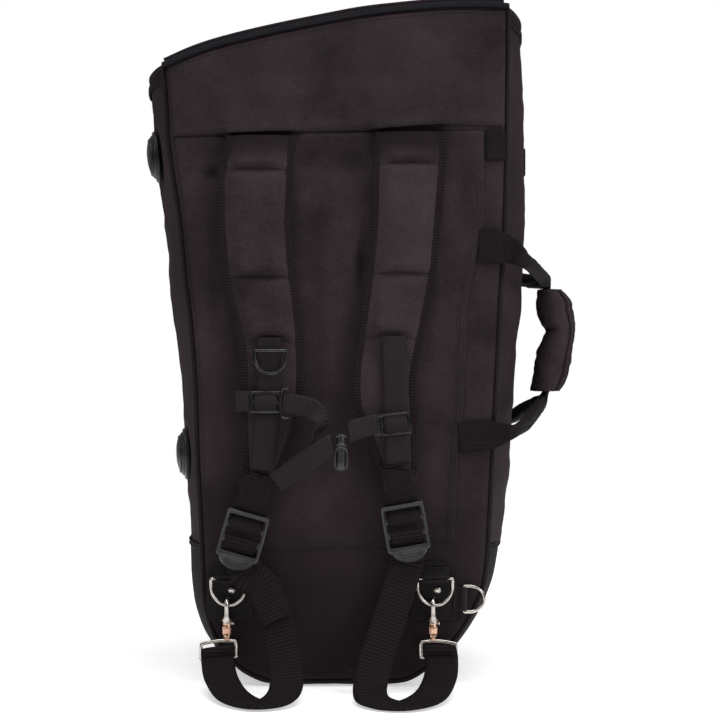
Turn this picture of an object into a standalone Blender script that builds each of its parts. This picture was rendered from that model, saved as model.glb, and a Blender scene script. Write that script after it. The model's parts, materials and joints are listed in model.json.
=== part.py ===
"""A soft upright gig bag for a euphonium, standing on its base: a padded shell that tapers to the bottom,
a hinged zip lid, two shoulder straps joined by a chest strap, a side carry handle, feet and strap rings.
The strap side faces -Y. Dimensions are in millimetres unless a name says otherwise."""

import math

import bmesh
import bpy
from mathutils import Matrix, Vector

MM = 0.001

# ---------------------------------------------------------------- driving dimensions
BACK_Y = -125.0  # outer face of the back panel
FRONT_Y_BASE = 125.0  # outer face of the front panel at the base
FRONT_Y_TOP = 205.0  # and at TOP_Z, where the bell sits
TOP_Z = 750.0
PANEL_T = 14.0  # padded panels
GUSSET_T = 12.0  # padded side walls
GAP = 0.5
PIPING_R = 3.0
LID_EDGE = 9.0
LID_CROWN = 16.0
WEB_T = 1.6  # thickness of webbing
LOAD_W = 38.0  # shoulder strap webbing
SMALL_W = 25.0  # chest strap webbing
PAD_T = 13.0
FOOT_R, FOOT_H = 29.5, 11.0
STRAP_AXIS = (0.0, -131.0, 607.0)

# Edge of the back panel (x, z) and how far the side wall bulges past it at mid depth, down the left side,
# along the base and up the right side.
LEFT = [
    (-187, 682, 32), (-184, 646, 32), (-182, 604, 32), (-176, 560, 31), (-169, 514, 33), (-163, 450, 33),
    (-157, 403, 33), (-152, 337, 29), (-149, 250, 27), (-146, 190, 26), (-144, 152, 26),
]
BASE = [
    (-144, 152, 26), (-142, 100, 26), (-136, 72, 26), (-124, 46, 25), (-106, 25, 22), (-84, 12, 14), (-62, 8, 14.5),
    (0, 8, 14.5), (60, 8, 14.5), (84, 13, 15), (104, 27, 20), (124, 46, 22), (141, 69, 22), (153, 92, 21),
    (162, 116, 21), (166, 152, 25),
]
RIGHT = [
    (166, 152, 25), (168, 190, 29), (171, 250, 32), (174, 310, 33), (177, 365, 35), (180, 430, 37), (184, 490, 37),
    (186, 560, 36), (187, 640, 34), (188, 700, 30), (188, 746, 28),
]
TOP = [
    (188, 746), (160, 748), (116, 747), (70, 743), (28, 738), (-20, 729), (-60, 721), (-100, 712), (-134, 703),
    (-160, 694), (-187, 682),
]

for old in list(bpy.data.objects):
    bpy.data.objects.remove(old, do_unlink=True)

bag = bpy.data.collections.new("euphonium_gig_bag")
bpy.context.scene.collection.children.link(bag)


# ---------------------------------------------------------------- materials
def material(name, colour, rough, metal=0.0):
    m = bpy.data.materials.new(name)
    m.use_nodes = True
    b = m.node_tree.nodes["Principled BSDF"]
    b.inputs["Base Color"].default_value = (*colour, 1.0)
    b.inputs["Roughness"].default_value = rough
    b.inputs["Metallic"].default_value = metal
    m.diffuse_color = (*colour, 1.0)
    return m


NYLON = (0.030, 0.026, 0.027)
WEBBING = (0.022, 0.021, 0.024)
COAL = (0.012, 0.012, 0.013)


# ---------------------------------------------------------------- building helpers
def keep(obj, colour, rough, metal=0.0):
    obj.data.materials.append(material(obj.name + "_finish", colour, rough, metal))
    bag.objects.link(obj)
    return obj


def from_bmesh(name, bm, smooth=False):
    bmesh.ops.recalc_face_normals(bm, faces=bm.faces[:])
    mesh = bpy.data.meshes.new(name)
    bm.to_mesh(mesh)
    bm.free()
    obj = bpy.data.objects.new(name, mesh)
    if smooth:
        mesh.shade_smooth()
        mesh.set_sharp_from_angle(angle=math.radians(40))
    return obj


def loft(name, rings, cap=True, smooth=False):
    """A closed skin through rings of equal length, given in millimetres."""
    bm = bmesh.new()
    loops = [[bm.verts.new(Vector(p) * MM) for p in ring] for ring in rings]
    n = len(loops[0])
    for a, b in zip(loops, loops[1:]):
        for i in range(n):
            j = (i + 1) % n
            bm.faces.new((a[i], a[j], b[j], b[i]))
    if cap:
        bm.faces.new(loops[0][::-1])
        bm.faces.new(loops[-1])
    return from_bmesh(name, bm, smooth)


def grid(name, rows, smooth=True):
    """An open surface through rows of points."""
    bm = bmesh.new()
    made = [[bm.verts.new(Vector(p) * MM) for p in row] for row in rows]
    for a, b in zip(made, made[1:]):
        for i in range(len(a) - 1):
            bm.faces.new((a[i], a[i + 1], b[i + 1], b[i]))
    mesh = bpy.data.meshes.new(name)
    bm.to_mesh(mesh)
    bm.free()
    if smooth:
        mesh.shade_smooth()
    return bpy.data.objects.new(name, mesh)


def solidify(obj, thick_mm, offset=-1.0):
    m = obj.modifiers.new("thickness", "SOLIDIFY")
    m.thickness = thick_mm * MM
    m.offset = offset
    m.use_even_offset = False
    m.use_quality_normals = True
    return obj


def spline_through(points, per_span):
    """Points on a smooth curve through the given ones."""
    out = []
    n = len(points)
    for i in range(n - 1):
        p0, p1, p2, p3 = (Vector(points[max(0, i - 1)]), Vector(points[i]), Vector(points[i + 1]),
                          Vector(points[min(n - 1, i + 2)]))
        for k in range(per_span):
            t = k / per_span
            out.append(0.5 * ((2 * p1) + (p2 - p0) * t + (2 * p0 - 5 * p1 + 4 * p2 - p3) * t * t
                              + (3 * p1 - p0 - 3 * p2 + p3) * t ** 3))
    out.append(Vector(points[-1]))
    return out


def ribbon(name, stations, width, thick=WEB_T, per_span=3):
    """Flat webbing: stations are (centre, direction of its width), in order along its length."""
    centres = spline_through([s[0] for s in stations], per_span)
    across = spline_through([s[1] for s in stations], per_span)
    rings = []
    for i, c in enumerate(centres):
        along = (centres[min(i + 1, len(centres) - 1)] - centres[max(i - 1, 0)]).normalized()
        w = across[i] - along * across[i].dot(along)
        w.normalize()
        n = w.cross(along).normalized()
        a, b = w * width / 2, n * thick / 2
        rings.append([c + a + b, c - a + b, c - a - b, c + a - b])
    return loft(name, rings)


def bar_path(name, points, radius, cyclic=False, res=2):
    """Round wire along points."""
    c = bpy.data.curves.new(name, "CURVE")
    c.dimensions = "3D"
    c.bevel_depth = radius * MM
    c.bevel_resolution = res
    c.use_fill_caps = not cyclic
    s = c.splines.new("POLY")
    s.points.add(len(points) - 1)
    for p, q in zip(s.points, points):
        p.co = (*(Vector(q) * MM), 1.0)
    s.use_cyclic_u = cyclic
    return bpy.data.objects.new(name, c)


def flat_shape(name, outlines, thick, place):
    """A flat outline with holes, extruded; place is the matrix from its own plane to the bag."""
    c = bpy.data.curves.new(name, "CURVE")
    c.dimensions = "2D"
    c.fill_mode = "BOTH"
    c.extrude = thick * MM / 2
    for line in outlines:
        s = c.splines.new("POLY")
        s.points.add(len(line) - 1)
        for p, q in zip(s.points, line):
            p.co = (q[0] * MM, q[1] * MM, 0.0, 1.0)
        s.use_cyclic_u = True
    o = bpy.data.objects.new(name, c)
    o.matrix_world = place
    return o


def turned(name, profile, place, steps=16):
    """A turned piece: profile is (radius, height) from the top outwards and down to the bottom."""
    mesh = bpy.data.meshes.new(name)
    bm = bmesh.new()
    vs = [bm.verts.new((r * MM, 0, z * MM)) for r, z in profile]
    for a, b in zip(vs, vs[1:]):
        bm.edges.new((a, b))
    bm.to_mesh(mesh)
    bm.free()
    o = bpy.data.objects.new(name, mesh)
    m = o.modifiers.new("turn", "SCREW")
    m.steps = steps
    m.render_steps = steps
    m.use_merge_vertices = True
    m.merge_threshold = 0.00002
    m.use_smooth_shade = True
    o.matrix_world = place
    return o


def block(name, size, centre, bevel=0.0, turn=None):
    bm = bmesh.new()
    bmesh.ops.create_cube(bm, size=1.0)
    bmesh.ops.scale(bm, vec=Vector(size) * MM, verts=bm.verts[:])
    o = from_bmesh(name, bm)
    if bevel:
        m = o.modifiers.new("edge", "BEVEL")
        m.width = bevel * MM
        m.segments = 1
    o.matrix_world = Matrix.Translation(Vector(centre) * MM) @ (turn or Matrix())
    return o


def axes(origin, x, y):
    """The matrix of a plane with its own x and y directions at origin."""
    x, y = Vector(x).normalized(), Vector(y).normalized()
    z = x.cross(y).normalized()
    y = z.cross(x)
    m = Matrix((x, y, z)).transposed().to_4x4()
    m.translation = Vector(origin) * MM
    return m


def pivot(name, at):
    e = bpy.data.objects.new(name, None)
    e.empty_display_size = 0.02
    e.location = Vector(at) * MM
    bag.objects.link(e)
    bpy.context.view_layer.update()
    return e


def hang(empty, *objs):
    bpy.context.view_layer.update()
    for o in objs:
        place = o.matrix_world.copy()
        o.parent = empty
        o.matrix_parent_inverse = empty.matrix_world.inverted()
        o.matrix_world = place


# ---------------------------------------------------------------- the shape of the shell
def front_y(z):
    return FRONT_Y_BASE + (FRONT_Y_TOP - FRONT_Y_BASE) * z / TOP_Z


def fullness(v):
    return math.sin(math.pi * min(max(v, 0.0), 1.0)) ** 0.8


def edge_at(side, z):
    """x and bulge of the panel edge at height z, on the left or right side."""
    line = (LEFT + BASE[1:7]) if side < 0 else (RIGHT[::-1] + BASE[-2:8:-1])
    for (x0, z0, b0), (x1, z1, b1) in zip(line, line[1:]):
        if z1 <= z <= z0:
            t = (z0 - z) / max(z0 - z1, 1e-9)
            return x0 + (x1 - x0) * t, b0 + (b1 - b0) * t
    return line[0][0], line[0][2]


def wall_x(side, z, y):
    """Outer face of the side wall."""
    x, b = edge_at(side, z)
    y0, y1 = BACK_Y + PANEL_T + GAP, front_y(z) - PANEL_T - GAP
    return x + side * b * fullness((y - y0) / (y1 - y0))


def top_z(x):
    line = TOP[::-1]
    if x <= line[0][0]:
        return line[0][1]
    for (x0, z0), (x1, z1) in zip(line, line[1:]):
        if x <= x1:
            return z0 + (z1 - z0) * (x - x0) / (x1 - x0)
    return line[-1][1]


DEPTHS = [0.0, 0.07, 0.18, 0.34, 0.5, 0.66, 0.82, 0.93, 1.0]


def wall(name, stations, ends=(None, None)):
    """A side wall: rows from the back edge to the front edge, bulging between them."""
    rows = []
    for i, (x, z, b) in enumerate(stations):
        x0, z0, _ = stations[max(i - 1, 0)]
        x1, z1, _ = stations[min(i + 1, len(stations) - 1)]
        along = Vector((x1 - x0, z1 - z0)).normalized()
        out = Vector((along.y, -along.x))
        if i == 0 and ends[0]:
            out = Vector(ends[0])
        if i == len(stations) - 1 and ends[1]:
            out = Vector(ends[1])
        row = []
        for v in DEPTHS:
            y0, y1 = BACK_Y + PANEL_T + GAP, front_y(max(z, 0)) - PANEL_T - GAP
            p = Vector((x, z)) + out * b * fullness(v)
            row.append((p.x, y0 + (y1 - y0) * v, max(p.y, 0.0)))
        rows.append(row)
    return rows


def outline():
    """The whole edge of a panel, in x and z, running down the left side."""
    return [(x, z) for x, z, _ in LEFT + BASE[1:] + RIGHT[1:]] + TOP[1:-1]


def panel(name, points, face_a, face_b):
    """A flat padded panel between two faces given as functions of height."""
    return loft(name, [[(x, face_a(z), z) for x, z in points], [(x, face_b(z), z) for x, z in points]])


# ---------------------------------------------------------------- shell
back_panel = keep(panel("back_panel", outline(), lambda z: BACK_Y, lambda z: BACK_Y + PANEL_T), NYLON, 0.85)
front_panel = keep(
    panel("front_panel", outline(), lambda z: front_y(z) - PANEL_T, lambda z: front_y(z)), NYLON, 0.85)


def shell_piece(name, stations, ends):
    o = grid(name, wall(name, stations, ends))
    solidify(o, GUSSET_T, -1.0)
    return o


def split(stations, first, last):
    """The same stations with a small gap left at the seams with the next wall."""
    s = list(stations)
    if first:
        s[0] = (s[0][0], s[0][1] + first, s[0][2])
    if last:
        s[-1] = (s[-1][0], s[-1][1] + last, s[-1][2])
    return s


left_gusset = keep(shell_piece("left_gusset", split(LEFT, 0, 0.4), ((-1, 0), (-1, 0))), NYLON, 0.8)
right_gusset = keep(shell_piece("right_gusset", split(RIGHT, 0.4, 0), ((1, 0), (1, 0))), NYLON, 0.8)
base_boot = keep(shell_piece("base_boot", split(BASE, -0.4, -0.4), ((-1, 0), (1, 0))), COAL, 0.7)


def edge_cord(name, y_of):
    """Piping sewn in the seam round a panel, just outside its edge."""
    pts = []
    line = [(x, z) for x, z, _ in LEFT + BASE[1:] + RIGHT[1:]]
    for i, (x, z) in enumerate(line):
        a = Vector(line[max(i - 1, 0)])
        b = Vector(line[min(i + 1, len(line) - 1)])
        along = (b - a).normalized()
        out = Vector((along.y, -along.x)) * (PIPING_R + 0.9)
        pts.append((x + out.x, y_of(z), z + out.y))
    pts[0] = (pts[0][0], pts[0][1], pts[0][2] - 16)
    pts[-1] = (pts[-1][0], pts[-1][1], pts[-1][2] - 16)
    return bar_path(name, pts, PIPING_R, res=1)


piping_back = keep(edge_cord("piping_back", lambda z: BACK_Y + 7.5), WEBBING, 0.6)
piping_front = keep(edge_cord("piping_front", lambda z: front_y(z) - 7.5), WEBBING, 0.6)

# The sewn-on panel that covers the sleeve where the straps are stowed.
POCKET_EDGE = [(x + 5, z) for x, z, _ in LEFT if z < 600]
strap_sleeve = keep(
    panel(
        "strap_sleeve_panel",
        [(-176, 606)] + POCKET_EDGE + [(-65, 150), (30, 154), (131, 160), (136, 259), (141, 304), (144, 375),
                                       (147, 426), (163, 501), (163, 612), (60, 611), (-60, 607)],
        lambda z: BACK_Y - 3.2, lambda z: BACK_Y - 0.4),
    NYLON, 0.85)

# ---------------------------------------------------------------- inside
base_foam = keep(
    loft("base_foam_block",
         [[(x0, y0, z), (x1, y0, z), (x1, y1, z), (x0, y1, z)] for z, x0, x1, y0, y1 in
          ((23, -52, 50, -98, 98), (36, -76, 72, -100, 100), (62, -104, 98, -102, 104))]),
    (0.05, 0.05, 0.055), 0.95)
bell_pad = keep(
    block("bell_pad", (250, 16, 120), (0, BACK_Y + PANEL_T + 8.6, 590), bevel=5), (0.05, 0.05, 0.055), 0.95)

# ---------------------------------------------------------------- lid and its zip
LID_V = [0.0, 0.06, 0.18, 0.34, 0.5, 0.66, 0.82, 0.94, 1.0]


def mouth_x(end, y, z):
    """Where the mouth's left or right end lies at depth y."""
    x, b = (LEFT[0][0], LEFT[0][2]) if end < 0 else (RIGHT[-1][0], RIGHT[-1][2])
    y0, y1 = BACK_Y + PANEL_T + GAP, front_y(z) - PANEL_T - GAP
    return x + end * b * fullness((y - y0) / (y1 - y0))


def lid_point(k, v, top):
    x, z = TOP[k]
    y = BACK_Y + v * (front_y(z) - BACK_Y)
    share = (x - TOP[-1][0]) / (TOP[0][0] - TOP[-1][0])
    xl, xr = mouth_x(-1, y, TOP[-1][1]), mouth_x(1, y, TOP[0][1])
    rise = LID_CROWN * math.sin(math.pi * min(max(v, 0), 1)) ** 0.7 * math.sin(math.pi * share) ** 0.5 if 0 < share < 1 else 0
    return (xl + share * (xr - xl), y, z + (LID_EDGE + rise if top else GAP))


def lid_skin():
    bm = bmesh.new()
    layers = []
    for top in (True, False):
        layers.append([[bm.verts.new(Vector(lid_point(k, v, top)) * MM) for k in range(len(TOP))] for v in LID_V])
    for rows in layers:
        for a, b in zip(rows, rows[1:]):
            for i in range(len(a) - 1):
                bm.faces.new((a[i], a[i + 1], b[i + 1], b[i]))
    up, low = layers
    n, m = len(LID_V), len(TOP)
    rim = ([(0, i) for i in range(m)] + [(j, m - 1) for j in range(1, n)]
           + [(n - 1, i) for i in range(m - 2, -1, -1)] + [(j, 0) for j in range(n - 2, 0, -1)])
    for (j0, i0), (j1, i1) in zip(rim, rim[1:] + rim[:1]):
        bm.faces.new((up[j0][i0], up[j1][i1], low[j1][i1], low[j0][i0]))
    return from_bmesh("lid_panel", bm, smooth=True)


lid_panel = keep(lid_skin(), NYLON, 0.8)

ZIP_H, ZIP_DROP, ZIP_OUT = 12.0, 8.0, 1.9
zip_path = []
for v in (0.08, 0.2, 0.35, 0.5, 0.65, 0.8, 0.92):
    y = BACK_Y + PANEL_T + v * (front_y(TOP[-1][1]) - 2 * PANEL_T - BACK_Y)
    zip_path.append((mouth_x(-1, y, TOP[-1][1]) - ZIP_OUT, y, TOP[-1][1] - ZIP_DROP))
for x, z in TOP[::-1]:
    corner = 3.0 if x == TOP[0][0] else -3.0 if x == TOP[-1][0] else 0.0
    zip_path.append((x + corner, front_y(z) + ZIP_OUT, z - ZIP_DROP))
for v in (0.92, 0.8, 0.65, 0.5, 0.35, 0.2, 0.08):
    y = BACK_Y + PANEL_T + v * (front_y(TOP[0][1]) - 2 * PANEL_T - BACK_Y)
    zip_path.append((mouth_x(1, y, TOP[0][1]) + ZIP_OUT, y, TOP[0][1] - ZIP_DROP))
lid_zip_tape = keep(
    ribbon("lid_zip_tape", [(p, (0, 0.107 if p[1] > 195 else 0.0, 1)) for p in zip_path], ZIP_H, 1.2, per_span=1), COAL, 0.5)


def zip_slider(name, x, side):
    z = top_z(x) - ZIP_DROP + 3
    slope = Matrix.Rotation(-math.atan(0.2 if side < 0 else 0.12), 4, "Y")
    return block(name, (11, 5, 9), (x, front_y(z) + ZIP_OUT + 0.6 + 4.2, z), bevel=1.2, turn=slope)


def zip_pull(name, x, y, z):
    """A pull tab hanging from its slider."""
    shape = [(-4, 0), (4, 0), (5.5, -22), (3.5, -34), (-3.5, -34), (-5.5, -22)]
    hole = [(-2, -24), (2, -24), (2, -31), (-2, -31)]
    return flat_shape(name, [shape, hole], 1.8, axes((x, y, z), (1, 0, 0), (0, 0, 1)))


LID_SLIDERS = {}
for tag, x, side in (("left", -9, -1), ("right", 9, 1)):
    slider = keep(zip_slider(f"lid_zip_slider_{tag}", x, side), (0.5, 0.5, 0.52), 0.35, 1.0)
    z = top_z(x) - ZIP_DROP + 3
    py = front_y(z) + ZIP_OUT + 0.6 + 4.2 + 2.5 + 1.4
    pull = keep(zip_pull(f"lid_zip_pull_{tag}", x, py, z + 1), (0.45, 0.45, 0.47), 0.4, 1.0)
    LID_SLIDERS[tag] = (slider, pull, (x, py, z + 1))

# ---------------------------------------------------------------- front pocket
POCKET_DEPTH = 24.0
POCKET_LINE = [(-112, 130), (-118, 250), (-130, 400), (-142, 520), (-140, 545), (-128, 556), (130, 580), (142, 570),
               (148, 545), (142, 400), (136, 250), (128, 130), (114, 116), (-98, 116)]


def pocket_shell():
    """An open box of thin cloth, its open side against the front panel."""
    bm = bmesh.new()
    a = [bm.verts.new(Vector((x, front_y(z) + 1.8, z)) * MM) for x, z in POCKET_LINE]
    cx, cz = 0, 340
    b = [bm.verts.new(Vector((cx + (x - cx) * 0.97, front_y(z) + POCKET_DEPTH, cz + (z - cz) * 0.975)) * MM)
         for x, z in POCKET_LINE]
    n = len(a)
    for i in range(n):
        j = (i + 1) % n
        bm.faces.new((a[i], b[i], b[j], a[j]))
    bm.faces.new(b)
    bmesh.ops.recalc_face_normals(bm, faces=bm.faces[:])
    mesh = bpy.data.meshes.new("front_pocket")
    bm.to_mesh(mesh)
    bm.free()
    return bpy.data.objects.new("front_pocket", mesh)


front_pocket = pocket_shell()
solidify(front_pocket, 3.0, 0.0)
for m in front_pocket.modifiers:
    m.offset = -1.0
keep(front_pocket, NYLON, 0.85)

PZ0, PZ1 = (-118, 548), (122, 571)
p_slope = math.atan2(PZ1[1] - PZ0[1], PZ1[0] - PZ0[0])


def pocket_zip_y(z):
    return front_y(z) + POCKET_DEPTH + 1.4


pocket_zip = keep(
    ribbon("pocket_zip_tape",
           [((PZ0[0] + (PZ1[0] - PZ0[0]) * t, pocket_zip_y(PZ0[1] + (PZ1[1] - PZ0[1]) * t) + 0.2,
              PZ0[1] - 14 + (PZ1[1] - PZ0[1]) * t), (0, 0.1, 1)) for t in (0, 0.5, 1)], 14, 1.2, per_span=1),
    COAL, 0.5)
sx, sz = PZ0[0] + 14, PZ0[1] - 14 + 14 * math.tan(p_slope)
pocket_slider = keep(
    block("pocket_zip_slider", (11, 5, 9), (sx, pocket_zip_y(sz) + 5.8, sz), bevel=1.2,
          turn=Matrix.Rotation(-p_slope, 4, "Y")), (0.5, 0.5, 0.52), 0.35, 1.0)
pocket_pull = keep(
    zip_pull("pocket_zip_pull", sx, pocket_zip_y(sz) + 5.8 + 4.4, sz + 1), (0.45, 0.45, 0.47), 0.4, 1.0)

# ---------------------------------------------------------------- feet on the left side, for when it is laid down
FEET = {}
for tag, z, y in (("upper_back", 595, -38), ("upper_front", 595, 112), ("lower_back", 252, -38), ("lower_front", 252, 92)):
    d = 2.0
    slope_y = (wall_x(-1, z, y + d) - wall_x(-1, z, y - d)) / (2 * d)
    slope_z = (wall_x(-1, z + 30, y) - wall_x(-1, z - 30, y)) / 60
    n = Vector((-1, slope_y, slope_z)).normalized()
    lift = max(0.0, *[
        (Vector((wall_x(-1, z + dz, y + dy) - wall_x(-1, z, y), dy, dz))).dot(n)
        for dy in (-20, -10, 0, 10, 20) for dz in (-20, 0, 20)
    ]) + 0.8
    at = Vector((wall_x(-1, z, y), y, z)) + n * lift
    place = axes(at, n.cross(Vector((0, 0, 1))).normalized().cross(n) * -1, n.cross(Vector((0, 0, 1))))
    if place.col[2].to_3d().dot(n) < 0:
        place = axes(at, n.cross(Vector((0, 0, 1))), n.cross(Vector((0, 0, 1))).normalized().cross(n) * -1)
    foot = turned(f"side_foot_{tag}",
                  [(0, FOOT_H), (10, FOOT_H - 0.6), (18, FOOT_H - 2.6), (24, FOOT_H - 6.2), (26, 3.0), (FOOT_R, 2.4),
                   (FOOT_R, 0), (0, 0)], place, steps=16)
    FEET[tag] = keep(foot, COAL, 0.35)

# ---------------------------------------------------------------- carry handle on the right side
GRIP_LINE = [(247, 15, 444), (253, 15, 425), (256, 15, 400), (257, 15, 380), (256, 15, 360), (252, 15, 338), (245, 15, 320)]


def grip_sleeve():
    bm = bmesh.new()
    centres = [Vector(p) for p in GRIP_LINE]
    sections = []
    for i, c in enumerate(centres):
        along = (centres[min(i + 1, len(centres) - 1)] - centres[max(i - 1, 0)]).normalized()
        side = Vector((0, 1, 0))
        out = side.cross(along).normalized()
        if out.x < 0:
            out = -out
        swell = 1.0 if 0 < i < len(centres) - 1 else 0.88
        outer = [c + out * (19.5 * swell * math.cos(t)) + side * (20.5 * swell * math.sin(t))
                 for t in [k * math.tau / 12 for k in range(12)]]
        inner = [c + out * (9.0 * math.cos(t)) + side * (17.5 * math.sin(t))
                 for t in [k * math.tau / 12 for k in range(12)]]
        sections.append(([bm.verts.new(p * MM) for p in outer], [bm.verts.new(p * MM) for p in inner]))
    n = 12
    for (oa, ia), (ob, ib) in zip(sections, sections[1:]):
        for k in range(n):
            j = (k + 1) % n
            bm.faces.new((oa[k], oa[j], ob[j], ob[k]))
            bm.faces.new((ia[k], ib[k], ib[j], ia[j]))
    for outer, inner in (sections[0], sections[-1]):
        for k in range(n):
            j = (k + 1) % n
            bm.faces.new((outer[k], inner[k], inner[j], outer[j]))
    return from_bmesh("handle_grip", bm, smooth=True)


handle_grip = keep(grip_sleeve(), NYLON, 0.8)


def gathered(name, stations, per_span=2):
    """Webbing, flat or rolled up: stations are (centre, direction of its width, (width, thickness, squareness))."""
    centres = spline_through([s[0] for s in stations], per_span)
    across = spline_through([s[1] for s in stations], per_span)
    sizes = spline_through([s[2] for s in stations], per_span)
    rings = []
    for i, c in enumerate(centres):
        along = (centres[min(i + 1, len(centres) - 1)] - centres[max(i - 1, 0)]).normalized()
        w = across[i] - along * across[i].dot(along)
        w.normalize()
        n = w.cross(along).normalized()
        width, thick, square = sizes[i]
        ring = []
        for t in [(k + 0.5) * math.tau / 8 for k in range(8)]:
            u, v = math.cos(t), math.sin(t)
            u = math.copysign(abs(u) ** (2 / square), u)
            v = math.copysign(abs(v) ** (2 / square), v)
            ring.append(c + w * (u * width / 2) + n * (v * thick / 2))
        rings.append(ring)
    return loft(name, rings)


def handle_strap(name, near):
    """One carry strap: sewn flat on a panel, rolled into a cord, through the grip, and sewn flat again below."""
    s = -1 if near else 1

    def face(z, out=0.0):
        return (BACK_Y - 4.6 - out) if near else (front_y(z) + 2.4 + out)

    cord_y = (-105, -55, -8, 3) if near else (141, 90, 38, 27)
    low_y = (3.5, -10, -42, -92, -131) if near else (26.5, 40, 72, 108, 150)
    up, dn = (0.1, 0.0 if near else 0.107, 1), (0, 0.0 if near else -0.107, -1)
    flat, roll, core = (37.0, 1.6, 8.0), (12.5, 9.0, 2.4), (15.0, 6.0, 2.4)
    y_in = 15 + s * 8.3
    inside = (0, -s, 0)
    end_x = 136 if near else 147
    st = [
        ((158, face(485.5), 485.5), up, flat), ((178, face(483.8), 483.8), up, flat),
        ((193, face(479.5, 1.6), 479.5), (0.2, 0, 1), (29, 3.2, 5)), ((207, face(469.5, 7), 469.5), (0, 0, 1), (15, 8, 2.6)),
        ((220, cord_y[0], 463), (0, 0, 1), roll), ((233, cord_y[1], 457), (0, 0, 1), roll),
        ((244, cord_y[2], 453), (0, 0, 1), roll), ((247.2, cord_y[3], 452), (0, -0.6 * s, 0.8), (12.5, 8.5, 2.4)),
        ((248.6, y_in, 441), inside, core), ((251.5, y_in, 430), inside, core), ((256, y_in, 402), inside, core),
        ((257, y_in, 380), inside, core), ((256, y_in, 358), inside, core), ((252.2, y_in, 338), inside, core),
        ((246.6, y_in, 322), inside, core), ((243, low_y[0], 312.5), (0, -0.6 * s, -0.8), (12.5, 8.5, 2.4)),
        ((238, low_y[1], 308), (0, 0, -1), roll), ((229.5, low_y[2], 302), (0, 0, -1), roll),
        ((213, low_y[3], 289.5), (0, 0, -1), roll), ((198, low_y[4], 282.5), (0, 0, -1), (14, 7.5, 2.6)),
        ((184, face(280, 3), 280), dn, (24, 3.5, 4)), ((168, face(277.5), 277.5), dn, (32, 1.6, 8)),
        ((end_x, face(274.5), 274.5), dn, (33, 1.6, 8)),
    ]
    return gathered(name, st)


handle_strap_back = keep(handle_strap("handle_strap_back", True), WEBBING, 0.75)
handle_strap_front = keep(handle_strap("handle_strap_front", False), WEBBING, 0.75)

# ---------------------------------------------------------------- shoulder straps
PAD_LINES = {
    "left": [
        (606, -118, -43, -137), (575, -124, -46, -137), (551, -127, -47, -137.5), (512, -126, -48, -138.5),
        (470, -123, -46, -140), (439, -119, -42, -141), (406, -110, -38, -143), (362, -102, -35, -146),
        (330, -102, -35, -148), (290, -101, -40, -150), (255, -100, -52, -150.5), (226, -98, -62, -150.5),
    ],
    "right": [
        (610, 45, 122, -137), (580, 43, 121, -137), (560, 42, 119, -137.5), (512, 41, 115, -138.5),
        (466, 37, 111, -140), (440, 34, 107, -141), (395, 28, 98, -143.5), (340, 21, 88, -147),
        (305, 24, 89, -149), (270, 38, 90, -150), (240, 48, 90, -150.5), (228, 52, 88, -150.5),
    ],
}


def pad(name, line):
    rings = []
    for i, (z, x0, x1, y) in enumerate(line):
        t = PAD_T / 2 * (0.75 if i in (0, len(line) - 1) else 1.0)
        e = 9.0
        rings.append([(x0, y, z), (x0 + e, y - t, z), ((x0 + x1) / 2, y - t - 0.6, z), (x1 - e, y - t, z), (x1, y, z),
                      (x1 - e, y + t, z), (x0 + e, y + t, z)])
    return loft(name, rings, smooth=True)


STRAPS = {}
WEB_LINES = {
    "left": [((-71, -153.6, 384), (1, 0, 0)), ((-71, -154.3, 362), (1, 0, 0)), ((-71, -156.7, 330), (1, 0, 0)),
             ((-74, -158.4, 290), (1, 0, 0.1)), ((-77, -158.9, 262), (1, 0, 0.1)), ((-79, -158.9, 241), (1, 0, 0.1))],
    "right": [((64, -152.8, 386), (1, 0, 0)), ((64, -154.4, 362), (1, 0, 0)), ((64.5, -156.0, 340), (1, 0, 0)),
              ((66, -157.8, 305), (1, 0, 0)), ((67, -158.9, 272), (1, 0, 0)), ((68, -158.9, 247), (1, 0, 0))],
}
LOCK_AT = {"left": ((-93.5, -154.0, 191.0), (0.96, 0, -0.27), (-0.27, 0, -0.96)),
           "right": ((73.0, -154.0, 200.5), (0.985, 0, 0.17), (0.17, 0, -0.985))}


def lock_point(side, u, w, y):
    o, a, d = (Vector(v) for v in LOCK_AT[side])
    p = o + a.normalized() * u + d.normalized() * w
    return Vector((p.x, y, p.z))


def ladder_lock(name, side):
    """Frame with a rim, a bar for the sewn tab, a bar for the adjustable webbing and a rounded thumb tab."""
    shape = [(-23, 3.5), (23, 3.5), (24, -20), (23.5, -45)]
    shape += [(19.5 * math.cos(t), -46 - 14.4 * math.sin(t)) for t in [k * math.pi / 6 for k in range(7)]]
    shape += [(-23.5, -45), (-24, -20)]
    slots = [[(-20, -a), (20, -a), (20, -b), (-20, -b)] for a, b in ((1.5, 11), (16, 26), (32.5, 42.5))]
    o, a, d = LOCK_AT[side]
    return flat_shape(name, [shape] + slots, 4.0, axes(o, a, -Vector(d)))


TAB_PATH = [(-27, -160.3), (-20, -158.6), (-13, -155.6), (-7, -152.5), (-3, -150.9), (1, -150.8), (5.5, -152.6),
            (9, -156.6), (12, -157.4), (15, -157.4), (17.3, -156.5), (18.3, -154), (17.3, -151.5), (15, -150.8),
            (11, -150.4), (5, -149.3), (0, -149.0), (-4, -149.0), (-10, -150.4), (-18, -154.6)]


def end_tab(name, side, top):
    """Webbing sewn to the pad's end, that passes behind the lock's rim and is folded round its upper bar."""
    a = Vector(LOCK_AT[side][1])
    st = [((top[0], -160.5, top[1]), a)] + [(lock_point(side, 0, w, y), a) for w, y in TAB_PATH]
    return ribbon(name, st, 36.0, WEB_T, per_span=2)


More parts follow.
